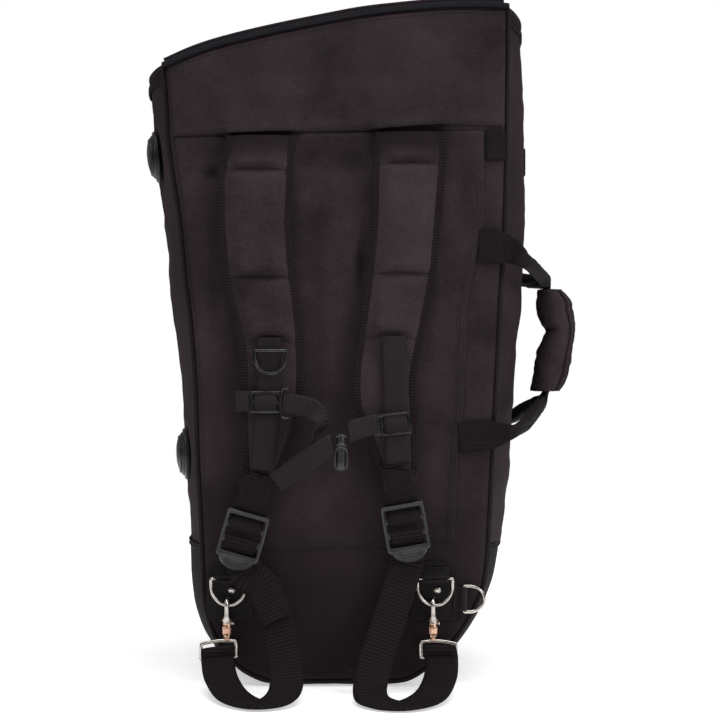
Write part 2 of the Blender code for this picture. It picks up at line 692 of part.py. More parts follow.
LOOPS = {
    "left": dict(
        front=[((-61, -165, 80), (1, 0, 0.45)), ((-71, -159, 100), (1, 0, 0.45)), ((-80, -153, 118), (1, 0, 0.42))],
        back=[((-80, -150, 112), (1, 0, 0.42)), ((-69, -156, 92), (1, 0, 0.38)), ((-57, -170, 52), (1, 0, 0.2)),
              ((-50, -200, 20), (1, 0.05, 0.1)), ((-56, -232, 8), (1, 0.35, 0.05)), ((-80, -240, 6.2), (0.8, 0.7, 0)),
              ((-106, -214, 10), (0.85, 0.5, 0.0)), ((-121, -176, 18), (1, 0.2, 0.05)), ((-127, -150, 34), (1, 0, 0.15)),
              ((-127, -145, 42), (1, 0, 0.15))],
        shift=(14, 8, 1.5, 16)),
    "right": dict(
        front=[((114, -145, 46), (1, 0, -0.02)), ((116, -150, 36), (1, 0, 0)), ((113, -180, 20), (1, -0.2, 0.1)),
               ((100, -222, 8), (0.95, -0.45, 0.05)), ((76, -252, 3.6), (0.9, -0.6, 0)), ((50, -246, 4.2), (1, -0.3, 0)),
               ((38, -218, 10), (1, 0, -0.05)), ((44, -188, 38), (1, 0, -0.25)), ((58, -171, 78), (1, 0, -0.3)),
               ((71.5, -153.5, 118), (1, 0, -0.2))],
        back=[((67.5, -148.8, 116), (1, 0, -0.3)), ((50, -152, 80), (1, 0, -0.4)), ((32, -158, 46), (1, 0, -0.35)),
              ((23, -166, 24), (1, 0, -0.3))],
        shift=(-4.5, -3, -1.5, -5)),
}


def lower_loop(name, side):
    """One length of webbing: up behind the lock's thumb tab, round its lower bar, and down behind itself."""
    a = Vector(LOCK_AT[side][1])
    s = LOOPS[side]["shift"]
    over = [(s[0], 61, -150.4), (s[1], 51, -150.3), (s[2], 44.6, -150.1), (s[2] / 3, 41.2, -150.9), (0, 38.2, -153.2),
            (0, 35.4, -156.2), (0, 32.5, -157.4), (0, 29, -157.5), (0, 25.6, -157.0), (0, 24.4, -154), (0, 25.6, -151.0), (0, 29, -150.7),
            (0, 33, -150.0), (s[2] / 4, 38, -148.8), (s[2], 44, -148.3), (s[1], 52, -148.2), (s[3], 60, -148.3)]
    over = [(lock_point(side, u, w, y), a) for u, w, y in over]
    return ribbon(name, LOOPS[side]["front"] + over + LOOPS[side]["back"], LOAD_W - 2, WEB_T, per_span=2)


for side, top in (("left", (-83.0, 236.0)), ("right", (68.5, 242.0))):
    made = {}
    made["pad"] = keep(pad(f"shoulder_pad_{side}", PAD_LINES[side]), NYLON, 0.85)
    made["web"] = keep(ribbon(f"pad_webbing_{side}", WEB_LINES[side], SMALL_W, 1.4, per_span=1), WEBBING, 0.75)
    made["tab"] = keep(end_tab(f"strap_end_tab_{side}", side, top), WEBBING, 0.75)
    made["lock"] = keep(ladder_lock(f"ladder_lock_{side}", side), COAL, 0.35)
    made["loop"] = keep(lower_loop(f"lower_webbing_{side}", side), WEBBING, 0.75)
    STRAPS[side] = made


def d_ring(name, at, across, down, width, drop, wire, res=2, n=10):
    """A D of round wire: its straight bar is centred on at and runs along across; the bow hangs along down."""
    at, a, d = Vector(at), Vector(across).normalized(), Vector(down).normalized()
    r = width / 2 - wire
    pts = [at - a * r, at + a * r]
    pts += [at + a * r * math.cos(t) + d * (drop - wire) * (0.25 + 0.75 * math.sin(t))
            for t in [k * math.pi / n for k in range(n + 1)]]
    return bar_path(name, pts, wire, cyclic=True, res=res)


strap_ring = keep(d_ring("strap_d_ring", (-69, -160.2, 370), (1, 0, 0), (0, -0.03, -1), 38, 27, 2.2, res=1), COAL, 0.4, 0.6)


def slider_frame(name, centre, turn):
    """A three-bar slide of the chest strap."""
    outer = [(-16.5, 13.5), (16.5, 13.5), (16.5, -13.5), (-16.5, -13.5)]
    slots = [[(-13, 10.5), (13, 10.5), (13, 2), (-13, 2)], [(-13, -2), (13, -2), (13, -10.5), (-13, -10.5)]]
    a = Vector((math.cos(turn), 0, math.sin(turn)))
    d = Vector((-math.sin(turn), 0, math.cos(turn)))
    return flat_shape(name, [outer] + slots, 3.0, axes(centre, a, d))


slider_left = keep(slider_frame("chest_slider_left", (-74, -161.6, 314), 0.0), (0.12, 0.12, 0.13), 0.35, 0.8)
slider_right = keep(slider_frame("chest_slider_right", (66, -161.4, 291), math.radians(6)), (0.2, 0.2, 0.21), 0.35, 0.8)
CHEST_LEFT = [
    ((-56, -163, 313), (0.05, 0, 1)), ((-38, -166, 311), (0.05, 0, 1)), ((-24, -171, 307), (0.25, 0.1, 1)),
    ((-17, -177, 299), (0.5, 0.5, 0.7)), ((-16, -184, 289), (0.35, 0.9, 0.2)), ((-21, -188, 280), (0.2, 1, 0.05)),
    ((-20, -190, 272), (0.0, 0.9, 0.4)), ((-12, -192, 269.5), (-0.1, 0.4, 0.9)), ((-5, -194.5, 271), (-0.15, 0.1, 1)),
    ((-2.6, -197.8, 270.5), (-0.18, 0, 1)), ((-5.5, -201, 269), (-0.25, 0, 1)), ((-17, -202.3, 261.5), (-0.45, 0, 0.9)),
    ((-32, -200, 251), (-0.55, 0, 0.84)), ((-48, -195, 240), (-0.55, 0, 0.84)), ((-62, -189.5, 229.5), (-0.55, 0, 0.84)),
]
chest_web_left = keep(ribbon("chest_webbing_left", CHEST_LEFT, 22.0, 1.4, per_span=3), WEBBING, 0.75)
CHEST_RIGHT = [((48.5, -163, 291), (0, 0, 1)), ((36, -167, 289), (0, 0, 1)), ((26, -173, 286.5), (0, 0.1, 1)),
               ((18.6, -180, 284), (0, 0.1, 1)), ((15.8, -190, 282), (0, 0, 1))]
chest_web_right = keep(ribbon("chest_webbing_right", CHEST_RIGHT, 22.0, 1.4, per_span=2), WEBBING, 0.75)


def buckle_socket():
    """The outer half of the side-release buckle: a flat sleeve, open at the top and closed below."""
    bm = bmesh.new()
    ox, oy, z0, z1 = 6.2, 14.5, 242.0, 268.0
    ix, iy, zi = 3.6, 11.5, 246.0
    cx, cy = 7.5, -186.0

    def ring(hx, hy, z):
        c = 0.35
        pts = [(hx, hy * (1 - c)), (hx * (1 - c), hy), (-hx * (1 - c), hy), (-hx, hy * (1 - c)),
               (-hx, -hy * (1 - c)), (-hx * (1 - c), -hy), (hx * (1 - c), -hy), (hx, -hy * (1 - c))]
        return [bm.verts.new(Vector((cx + x, cy + y, z)) * MM) for x, y in pts]

    rows = [ring(ox * 0.8, oy * 0.8, z0), ring(ox, oy, z0 + 4), ring(ox, oy, z1), ring(ix, iy, z1), ring(ix, iy, zi)]
    for a, b in zip(rows, rows[1:]):
        for k in range(8):
            j = (k + 1) % 8
            bm.faces.new((a[k], a[j], b[j], b[k]))
    bm.faces.new(rows[0][::-1])
    bm.faces.new(rows[-1])
    return from_bmesh("buckle_socket", bm)


socket = keep(buckle_socket(), COAL, 0.4)
plug = keep(
    loft("buckle_plug",
         [[(7.5 + sx * hx, -186 + sy * hy, z) for sx, sy in ((-1, -1), (1, -1), (1, 1), (-1, 1))]
          for z, hx, hy in ((249, 2.2, 7.5), (262, 2.8, 9.5), (268.4, 2.8, 9.8), (268.6, 5.4, 13.5), (276, 5.0, 13.0),
                            (281, 3.4, 12.0))]),
    COAL, 0.4)

# ---------------------------------------------------------------- lower rings, patches and snap hooks
HOOKS = {}
for side, bx, hx, ex in (("left", -116, -117.5, -127.0), ("right", 109.5, 107.0, 113.0)):
    def patch_line(cx):
        pts = [(cx - 25 + 0, 82), (cx - 25, 116)]
        pts += [(cx - 25 * math.cos(t), 116 + 23 * math.sin(t)) for t in [k * math.pi / 8 for k in range(1, 8)]]
        pts += [(cx + 25, 116), (cx + 25, 82), (cx + 14, 74), (cx - 14, 74)]
        return pts

    patch = keep(
        loft(f"ring_patch_{side}",
             [[(x, BACK_Y - 0.4, z) for x, z in patch_line(bx)], [(x, BACK_Y - 3.2, z) for x, z in patch_line(bx)]]),
        (0.02, 0.018, 0.018), 0.5)
    face_out = axes((bx + 3, BACK_Y - 3.5, 108), (1, 0, 0), (0, 0, 1))
    rivet = keep(turned(f"patch_rivet_{side}", [(0, 2.6), (2.4, 2.2), (3.9, 1.0), (4.2, 0.0), (0, 0)], face_out, steps=10),
                 (0.7, 0.7, 0.72), 0.25, 1.0)
    ring_y = BACK_Y - 14.0
    ring = keep(d_ring(f"d_ring_{side}", (bx, ring_y, 121), (1, 0, 0), (0, 0, -1), 42, 31, 2.1, res=1), (0.75, 0.75, 0.77),
                0.2, 1.0)
    wire_z = 121 - (31 - 2.1)
    bow = [(hx, ring_y - 4.5, wire_z - 18), (hx, ring_y - 6.6, wire_z - 9), (hx, ring_y - 6.8, wire_z)]
    bow += [(hx, ring_y - 6.8 * math.cos(t), wire_z + 6.8 * math.sin(t)) for t in [k * math.pi / 6 for k in range(1, 7)]]
    bow += [(hx, ring_y + 6.8, wire_z - 2.5)]
    hook_bow = bar_path("bow", bow, 1.9, res=1)
    # the barrel under the bow, turned, and joined to it
    barrel = turned("barrel", [(0, 0), (5.2, 0), (5.6, -3), (4.4, -6), (5.0, -10), (5.0, -18), (3.6, -22), (0, -22)],
                    Matrix.Translation(Vector((hx, ring_y - 1.5, wire_z - 13)) * MM), steps=10)
    bag.objects.link(hook_bow)
    bag.objects.link(barrel)
    bpy.context.view_layer.update()
    graph = bpy.context.evaluated_depsgraph_get()
    parts = []
    for piece in (hook_bow, barrel):
        mesh = bpy.data.meshes.new_from_object(piece.evaluated_get(graph))
        bm = bmesh.new()
        bm.from_mesh(mesh)
        bmesh.ops.remove_doubles(bm, verts=bm.verts[:], dist=1e-6)
        bmesh.ops.recalc_face_normals(bm, faces=bm.faces[:])
        bm.to_mesh(mesh)
        bm.free()
        solid = bpy.data.objects.new(f"snap_hook_{side}" if piece is hook_bow else f"hook_barrel_{side}", mesh)
        solid.matrix_world = piece.matrix_world.copy()
        parts.append(solid)
    for piece in (hook_bow, barrel):
        bpy.data.objects.remove(piece, do_unlink=True)
    hook, core = parts
    bag.objects.link(core)
    core.hide_render = True
    core.display_type = "WIRE"
    join = hook.modifiers.new("barrel", "BOOLEAN")
    join.operation = "UNION"
    join.object = core
    keep(hook, (0.75, 0.75, 0.77), 0.2, 1.0)
    gate_at = (hx, ring_y + 6.2, wire_z - 15.5)
    gate = keep(block(f"hook_gate_{side}", (2.6, 1.8, 11.0), (hx, ring_y + 6.6, wire_z - 10.6), bevel=0.4),
                (0.7, 0.7, 0.72), 0.25, 1.0)
    eye_w, z_hi, z_lo = 19.0, 52.0, 35.0
    lean = 0.12 if side == "right" else 0.25
    eye_pts = []
    for u, z in ((-eye_w, z_hi - 2), (-eye_w + 3, z_hi), (-4, z_hi + 1.5), (4, z_hi + 1.5), (eye_w - 3, z_hi), (eye_w, z_hi - 2),
                 (eye_w, z_lo + 2), (eye_w - 2, z_lo), (-eye_w + 2, z_lo), (-eye_w, z_lo + 2)):
        eye_pts.append((ex + u, ring_y - 1.5, z + lean * 0.4 * u * (1 if side == "left" else -1)))
    eye = keep(bar_path(f"hook_eye_{side}", eye_pts, 1.9, cyclic=True, res=1), (0.75, 0.75, 0.77), 0.2, 1.0)
    HOOKS[side] = dict(patch=patch, rivet=rivet, ring=ring, hook=hook, gate=gate, eye=eye, core=core,
                       ring_axis=(bx, ring_y, 121), hook_axis=(hx, ring_y - 1.5, wire_z), gate_axis=gate_at)

# ---------------------------------------------------------------- rings for a single shoulder strap, on the right side
side_tab_low = keep(block("side_tab_lower", (6.8, 4.0, 30), (138.3, BACK_Y - 2.6, 98), bevel=1.0), WEBBING, 0.75)
side_ring_low = keep(d_ring("side_ring_lower", (141.5, BACK_Y - 6.6, 98), (0, 0, -1), (1, 0, 0), 32, 24, 1.9, res=1),
                     (0.75, 0.75, 0.77), 0.2, 1.0)
UP_Y = 84.0
side_tab_up = keep(
    ribbon("side_tab_upper",
           [((wall_x(1, 597, y) + out, y, 597), (0, 0, 1))
            for y, out in ((UP_Y - 38, 1.7), (UP_Y - 28, 1.7), (UP_Y - 18, 1.8), (UP_Y - 11, 2.2), (UP_Y - 5, 2.7))],
           34.0, 1.8, per_span=1), WEBBING, 0.75)
ux, uy = wall_x(1, 597, UP_Y) + 5.5, UP_Y
tang = Vector((wall_x(1, 597, UP_Y + 18) - wall_x(1, 597, UP_Y), 18, 0)).normalized()
side_ring_up = keep(d_ring("side_ring_upper", (ux, uy, 597), (0, 0, -1), tuple(tang), 38, 26, 1.9, res=1), (0.75, 0.75, 0.77),
                    0.2, 1.0)

# ---------------------------------------------------------------- pivots of the moving pieces
LID_AXIS = (0.0, BACK_Y, 726.0)
hang(pivot("lid_pivot", LID_AXIS), lid_panel)
for tag, (slider, pull, at) in LID_SLIDERS.items():
    hang(pivot(f"lid_pull_pivot_{tag}", at), slider, pull)
hang(pivot("pocket_pull_pivot", (sx, pocket_zip_y(sz) + 10.2, sz + 1)), pocket_slider, pocket_pull)
hang(pivot("handle_pivot", (196, 15, 382)), handle_grip)
for side in ("left", "right"):
    axis = pivot(f"strap_pivot_{side}", STRAP_AXIS)
    hang(axis, STRAPS[side]["pad"], STRAPS[side]["web"], STRAPS[side]["tab"])
    hang(pivot(f"lock_pivot_{side}", LOCK_AT[side][0]), STRAPS[side]["lock"])
    h = HOOKS[side]
    hang(pivot(f"ring_pivot_{side}", h["ring_axis"]), h["ring"])
    hang(pivot(f"hook_pivot_{side}", h["hook_axis"]), h["hook"], h["core"])
    hang(pivot(f"gate_pivot_{side}", h["gate_axis"]), h["gate"])
hang(pivot("strap_ring_pivot", (-69, -160.2, 370)), strap_ring)
hang(pivot("chest_pivot_left", (-74, -161.6, 314)), slider_left, chest_web_left)
hang(pivot("chest_pivot_right", (66, -161.4, 291)), slider_right, chest_web_right, socket)
hang(pivot("plug_pivot", (7.5, -186, 268.5)), plug)
hang(pivot("side_ring_pivot_lower", (141.5, BACK_Y - 6.6, 98)), side_ring_low)
hang(pivot("side_ring_pivot_upper", (ux, uy, 597)), side_ring_up)
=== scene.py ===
"""The looks of a soft euphonium gig bag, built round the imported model: padded shell, lid, shoulder straps, webbing,
hardware, carry handle, feet and pocket. Lengths in the tables are millimetres."""

import json
import math

import bmesh
import bpy
import numpy as np
from mathutils import Matrix, Vector, noise


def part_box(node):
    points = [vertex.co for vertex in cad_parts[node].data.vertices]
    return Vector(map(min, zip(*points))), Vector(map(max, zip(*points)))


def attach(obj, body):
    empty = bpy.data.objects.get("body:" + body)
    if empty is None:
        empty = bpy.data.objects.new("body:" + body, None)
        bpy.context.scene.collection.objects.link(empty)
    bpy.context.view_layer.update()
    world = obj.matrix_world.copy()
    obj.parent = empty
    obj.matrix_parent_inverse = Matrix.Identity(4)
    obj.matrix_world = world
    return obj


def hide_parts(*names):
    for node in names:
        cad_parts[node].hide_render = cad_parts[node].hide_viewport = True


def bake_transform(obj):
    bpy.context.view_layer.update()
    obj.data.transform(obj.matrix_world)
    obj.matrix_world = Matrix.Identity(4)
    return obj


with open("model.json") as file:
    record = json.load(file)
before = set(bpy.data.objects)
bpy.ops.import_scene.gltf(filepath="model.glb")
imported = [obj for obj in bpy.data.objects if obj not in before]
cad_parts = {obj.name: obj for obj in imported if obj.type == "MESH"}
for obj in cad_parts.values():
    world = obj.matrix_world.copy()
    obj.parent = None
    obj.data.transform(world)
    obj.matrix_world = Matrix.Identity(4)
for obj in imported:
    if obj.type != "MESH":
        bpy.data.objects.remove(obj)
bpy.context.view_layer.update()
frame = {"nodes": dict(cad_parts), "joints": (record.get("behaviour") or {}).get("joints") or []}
MM = 0.001

# ---------------------------------------------------------------- camera
cam_data = bpy.data.cameras.new("camera")
cam_data.lens = 86.35
cam_data.sensor_width = 36.0
cam_data.sensor_fit = "HORIZONTAL"
cam_data.clip_start = 0.05
cam_data.clip_end = 60.0
camera = bpy.data.objects.new("camera", cam_data)
camera.location = (0.0275, -2.025, 0.36)
camera.rotation_euler = (math.radians(90), 0, 0)
bpy.context.scene.collection.objects.link(camera)
bpy.context.scene.camera = camera
bpy.context.scene.view_settings.view_transform = "Standard"

# ---------------------------------------------------------------- dimensions shared with the frame
BACK_Y = -125.0
FRONT_Y_BASE, FRONT_Y_TOP, TOP_Z = 125.0, 205.0, 750.0
PANEL_T, GUSSET_T, GAP = 14.0, 12.0, 0.5
LID_EDGE, LID_CROWN = 9.0, 16.0
LEFT = [
    (-187, 682, 32), (-184, 646, 32), (-182, 604, 32), (-176, 560, 31), (-169, 514, 33), (-163, 450, 33),
    (-157, 403, 33), (-152, 337, 29), (-149, 250, 27), (-146, 190, 26), (-144, 152, 26),
]
BASE = [
    (-144, 152, 26), (-142, 100, 26), (-136, 72, 26), (-124, 46, 25), (-106, 25, 22), (-84, 12, 14), (-62, 8, 14.5),
    (0, 8, 14.5), (60, 8, 14.5), (84, 13, 15), (104, 27, 20), (124, 46, 22), (141, 69, 22), (153, 92, 21),
    (162, 116, 21), (166, 152, 25),
]
RIGHT = [
    (166, 152, 25), (168, 190, 29), (171, 250, 32), (174, 310, 33), (177, 365, 35), (180, 430, 37), (184, 490, 37),
    (186, 560, 36), (187, 640, 34), (188, 700, 30), (188, 746, 28),
]
TOP = [
    (188, 746), (160, 748), (116, 747), (70, 743), (28, 738), (-20, 729), (-60, 721), (-100, 712), (-134, 703),
    (-160, 694), (-187, 682),
]


# ---------------------------------------------------------------- numbers
def smooth_line(points, n, closed=False, dims=None, even=True):
    """n points evenly along a smooth curve through the given ones; dims is how many leading columns measure length."""
    P = np.array([list(p) for p in points], float)
    ext = np.vstack([P[-1:], P, P[:2]]) if closed else np.vstack([2 * P[:1] - P[1:2], P, 2 * P[-1:] - P[-2:-1]])
    out = []
    for i in range(len(ext) - 3):
        p0, p1, p2, p3 = ext[i:i + 4]
        for k in range(14):
            t = k / 14
            out.append(0.5 * ((2 * p1) + (p2 - p0) * t + (2 * p0 - 5 * p1 + 4 * p2 - p3) * t * t
                              + (3 * p1 - p0 - 3 * p2 + p3) * t ** 3))
    out.append(out[0] if closed else P[-1])
    out = np.array(out)
    if not even:
        return out
    m = out[:, :dims] if dims else out
    d = np.r_[0, np.cumsum(np.linalg.norm(np.diff(m, axis=0), axis=1))]
    u = np.linspace(0, d[-1], n + (1 if closed else 0))
    res = np.stack([np.interp(u, d, out[:, c]) for c in range(out.shape[1])], 1)
    return res[:-1] if closed else res


def unit(v):
    v = np.asarray(v, float)
    return v / np.maximum(np.linalg.norm(v, axis=-1, keepdims=True), 1e-12)


def arc_len(P):
    return np.r_[0, np.cumsum(np.linalg.norm(np.diff(P, axis=0), axis=1))]


def wobble(P, size, amp, seed=0.0, stretch=(1, 1, 1)):
    """Smooth noise at points P in millimetres."""
    Q = np.asarray(P, float).reshape(-1, 3) / size * np.array(stretch)
    s = Vector((seed * 7.3, seed * 3.1, seed * 5.7))
    return amp * np.array([noise.noise(Vector(q) + s) for q in Q]).reshape(np.asarray(P).shape[:-1])


def step(x, a, b):
    t = np.clip((np.asarray(x, float) - a) / (b - a), 0, 1)
    return t * t * (3 - 2 * t)


def bell(x, c, w):
    return np.exp(-((np.asarray(x, float) - c) / w) ** 2)


def front_y(z):
    return FRONT_Y_BASE + (FRONT_Y_TOP - FRONT_Y_BASE) * np.asarray(z, float) / TOP_Z


def fullness(v):
    return np.sin(np.pi * np.clip(v, 0, 1)) ** 0.8


EDGE = smooth_line(LEFT + BASE[1:] + RIGHT[1:], 420, dims=2)  # x, z, bulge down the left, along the base, up the right
TOPS = smooth_line(TOP[::-1], 120, dims=2)  # left to right
LOW_L = int(np.argmin(np.hypot(EDGE[:, 0] + 106, EDGE[:, 1] - 25)))
LOW_R = int(np.argmin(np.hypot(EDGE[:, 0] - 104, EDGE[:, 1] - 27)))
_l = EDGE[:LOW_L + 40][::-1]
_r = EDGE[LOW_R - 40:]
_b = EDGE[LOW_L - 30:LOW_R + 31]


def xl(z):
    return np.interp(z, _l[:, 1], _l[:, 0])


def xr(z):
    return np.interp(z, _r[:, 1], _r[:, 0])


def bulge_l(z):
    return np.interp(z, _l[:, 1], _l[:, 2])


def bulge_r(z):
    return np.interp(z, _r[:, 1], _r[:, 2])


def zb(x):
    return np.interp(x, _b[:, 0], _b[:, 1])


def top_z(x):
    return np.interp(x, TOPS[:, 0], TOPS[:, 1])


def wall_x(side, z, y):
    x, b = (xl(z), bulge_l(z)) if side < 0 else (xr(z), bulge_r(z))
    y0, y1 = BACK_Y + PANEL_T + GAP, front_y(z) - PANEL_T - GAP
    return x + side * b * fullness((y - y0) / (y1 - y0))


def crown(x, z):
    s = np.clip((x - xl(z)) / (xr(z) - xl(z)), 0, 1)
    t = np.clip((z - zb(x)) / (top_z(x) - zb(x)), 0, 1)
    return np.sin(np.pi * s) ** 0.55 * np.sin(np.pi * t) ** 0.5


def back_h(x, z):
    """How far the back panel's face stands out at a point of it: its crown, the hollows beside the straps and soft folds."""
    x, z = np.asarray(x, float), np.asarray(z, float)
    h = 4.4 * crown(x, z)
    for cx, cz, wx, wz, a in ((-148, 560, 14, 34, 3.4), (8, 540, 26, 60, 2.6), (36, 468, 9, 40, 4.0), (22, 370, 12, 60, 2.6),
                              (-26, 470, 12, 90, 2.4), (136, 560, 10, 60, 2.6), (-131, 440, 8, 90, 3.0), (122, 330, 12, 100, 2.2),
                              (-134, 566, 10, 7, 14.0), (-127, 584, 14, 14, 6.0), (8, 578, 34, 14, 13.0), (-34, 582, 14, 13, 9.0), (31, 462, 7, 22, 6.5), (140, 545, 9, 30, 3.0), (-6, 400, 12, 110, -2.2),
                              (-30, 132, 34, 22, -3.2), (-20, 70, 60, 26, 2.4), (84, 108, 26, 30, 2.2), (-98, 190, 22, 34, 2.8),
                              (10, 205, 30, 22, 2.6), (163, 655, 6, 20, -3.0), (152, 655, 6, 26, 2.4), (-60, 655, 70, 12, -1.6),
                              (60, 672, 60, 10, 1.4), (-150, 330, 8, 60, 2.4), (150, 380, 7, 70, 2.0), (110, 480, 8, 60, -1.8)):
        h = h - a * bell(x, cx, wx) * bell(z, cz, wz)
    over = 1 - step(z, 600, 606) * 1.0
    h = h - 2.2 * over * bell(z, 598, 15) * (1 - 0.7 * bell(x, -85, 40)) * (1 - 0.7 * bell(x, 82, 40))
    P = np.stack([x, np.zeros_like(x), z], -1)
    h = h + wobble(P, 95, 2.2, 1, (1, 1, 0.5)) + wobble(P, 42, 1.3, 2, (1.6, 1, 0.6)) + wobble(P, 19, 0.5, 3, (1.5, 1, 0.8))
    return h * np.clip(crown(x, z) * 1.6, 0, 1)


def back_pt(x, z, off=0.0):
    x, z = np.asarray(x, float), np.asarray(z, float)
    return np.stack([x, BACK_Y - back_h(x, z) - off, z], -1)


def front_h(x, z):
    x, z = np.asarray(x, float), np.asarray(z, float)
    P = np.stack([x, np.full_like(x, 300.0), z], -1)
    h = 6.0 * crown(x, z) + wobble(P, 100, 1.6, 4, (1, 1, 0.6)) + wobble(P, 40, 0.7, 5)
    return h * np.clip(crown(x, z) * 1.6, 0, 1)


# ---------------------------------------------------------------- meshes
def faces_of(R, C, wrap=False, base=0, flip=False):
    idx = np.arange(R * C).reshape(R, C) + base
    if wrap:
        idx = np.concatenate([idx, idx[:, :1]], 1)
    f = np.stack([idx[:-1, :-1], idx[:-1, 1:], idx[1:, 1:], idx[1:, :-1]], -1).reshape(-1, 4)
    return f[:, ::-1] if flip else f


def put(name, V, F, mats, body, node=None, slot=None, uv=None, face_mat=None, smooth=True, angle=None, fix=True):
    me = bpy.data.meshes.new(name)
    me.from_pydata((np.asarray(V, float) * MM).tolist(), [], [list(map(int, f)) for f in F])
    if uv is not None:
        layer = me.uv_layers.new(name="UVMap")
        vi = np.zeros(len(me.loops), np.int32)
        me.loops.foreach_get("vertex_index", vi)
        layer.data.foreach_set("uv", (np.asarray(uv, float)[vi] * MM).astype(np.float32).ravel())
    for m in (mats if isinstance(mats, (list, tuple)) else [mats]):
        me.materials.append(m)
    if face_mat is not None:
        me.polygons.foreach_set("material_index", np.asarray(face_mat, np.int32))
    if fix:
        bm = bmesh.new()
        bm.from_mesh(me)
        bmesh.ops.recalc_face_normals(bm, faces=bm.faces[:])
        bm.to_mesh(me)
        bm.free()
    if smooth:
        me.shade_smooth()
        if angle:
            me.set_sharp_from_angle(angle=math.radians(angle))
    o = bpy.data.objects.new(name, me)
    bpy.context.scene.collection.objects.link(o)
    return dress(o, body, node)


def dress(o, body, node=None):
    if body:
        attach(o, body)
    if node:
        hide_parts(*([node] if isinstance(node, str) else node))
    return o


def shell(name, A, B, mats, body, node=None, slot=None, **k):
    """A closed padded piece between two grids of equal size: mats are outside, inside and rim."""
    R, C, _ = A.shape
    n = R * C
    V = np.concatenate([A.reshape(-1, 3), B.reshape(-1, 3)])
    fa, fb = faces_of(R, C), faces_of(R, C, base=n, flip=True)
    idx = np.arange(n).reshape(R, C)
    rim = np.concatenate([idx[0, :], idx[1:, -1], idx[-1, -2::-1], idx[-2:0:-1, 0]])
    nxt = np.roll(rim, -1)
    fr = np.stack([rim, rim + n, nxt + n, nxt], -1)
    F = np.concatenate([fa, fb, fr])
    fm = np.r_[np.zeros(len(fa)), np.ones(len(fb)) * min(1, len(mats) - 1), np.ones(len(fr)) * min(2, len(mats) - 1)]
    return put(name, V, F, mats, body, node, slot, face_mat=fm.astype(int), **k)


def sweep(name, rings, mats, body, node=None, slot=None, uv=None, cap=True, closed=False, **k):
    """A skin through rings (R, C, 3); closed joins the last ring to the first."""
    rings = np.asarray(rings, float)
    R, C, _ = rings.shape
    V = rings.reshape(-1, 3)
    F = [tuple(f) for f in faces_of(R, C, wrap=True)]
    if closed:
        a, b = np.arange(C) + (R - 1) * C, np.arange(C)
        F += [(a[i], a[(i + 1) % C], b[(i + 1) % C], b[i]) for i in range(C)]
    elif cap:
        F += [tuple(range(C))[::-1], tuple(range((R - 1) * C, R * C))]
    return put(name, V, F, mats, body, node, slot, uv=uv, **k)


def frames_along(P, up=None, closed=False):
    """Tangent, side and normal along a path, turning as little as possible."""
    P = np.asarray(P, float)
    if closed:
        T = unit(np.roll(P, -1, 0) - np.roll(P, 1, 0))
    else:
        T = unit(np.gradient(P, axis=0))
    n = len(P)
    S = np.zeros_like(P)
    s = np.cross(T[0], up if up is not None else (0, 1, 0))
    if np.linalg.norm(s) < 1e-6:
        s = np.cross(T[0], (1, 0, 0))
    S[0] = unit(s)
    for i in range(1, n):
        s = S[i - 1] - T[i] * np.dot(S[i - 1], T[i])
        S[i] = unit(s)
    return T, S, np.cross(S, T)


def tube(name, path, radius, mats, body, node=None, slot=None, sides=12, closed=False, up=None, squeeze=1.0, **k):
    """Round wire or cord along a path; radius may vary along it."""
    P = np.asarray(path, float)
    T, S, N = frames_along(P, up, closed)
    r = np.broadcast_to(np.asarray(radius, float), (len(P),))
    a = np.linspace(0, 2 * np.pi, sides, endpoint=False)
    rings = (P[:, None, :] + r[:, None, None] * (np.cos(a)[None, :, None] * S[:, None, :]
                                                  + squeeze * np.sin(a)[None, :, None] * N[:, None, :]))
    L = arc_len(P)
    uv = np.stack([np.repeat(L, sides), np.tile(a * float(np.mean(r)), len(P))], 1)
    return sweep(name, rings, mats, body, node, slot, uv=uv, closed=closed, **k)


def strip_rings(C, W, width, thick, rib=0.0, pitch=4.0, edge=0.55, ncross=9, cup=0.0):
    """Rings of flat webbing along centres C with width directions W: rounded selvages and raised ribs across."""
    T = unit(np.gradient(C, axis=0))
    W = unit(W - T * np.sum(W * T, axis=1, keepdims=True))
    N = unit(np.cross(W, T))
    L = arc_len(C)
    wave = rib * (np.abs(np.sin(np.pi * L / pitch)) ** 0.7 - 0.5)
    q = np.linspace(-1, 1, ncross)
    width = np.broadcast_to(np.asarray(width, float), L.shape)
    top, bot, uvt, uvb = [], [], [], []
    for u in q:
        e = (1 - abs(u) ** 8)
        half = thick / 2 * (edge + (1 - edge) * e)
        dip = cup * (1 - u * u)
        off_t = (half + wave * e + dip)[:, None] if np.ndim(wave) else half
        off_b = (-half - wave * e + dip)[:, None] if np.ndim(wave) else -half
        top.append(C + W * (u * width / 2)[:, None] + N * off_t)
        bot.append(C + W * (u * width / 2)[:, None] + N * off_b)
        uvt.append(np.stack([L, u * width / 2], 1))
        uvb.append(np.stack([L, u * width / 2], 1))
    rings = np.stack(top + bot[::-1], 1)
    uv = np.stack(uvt + uvb[::-1], 1).reshape(-1, 2)
    return rings, uv, L


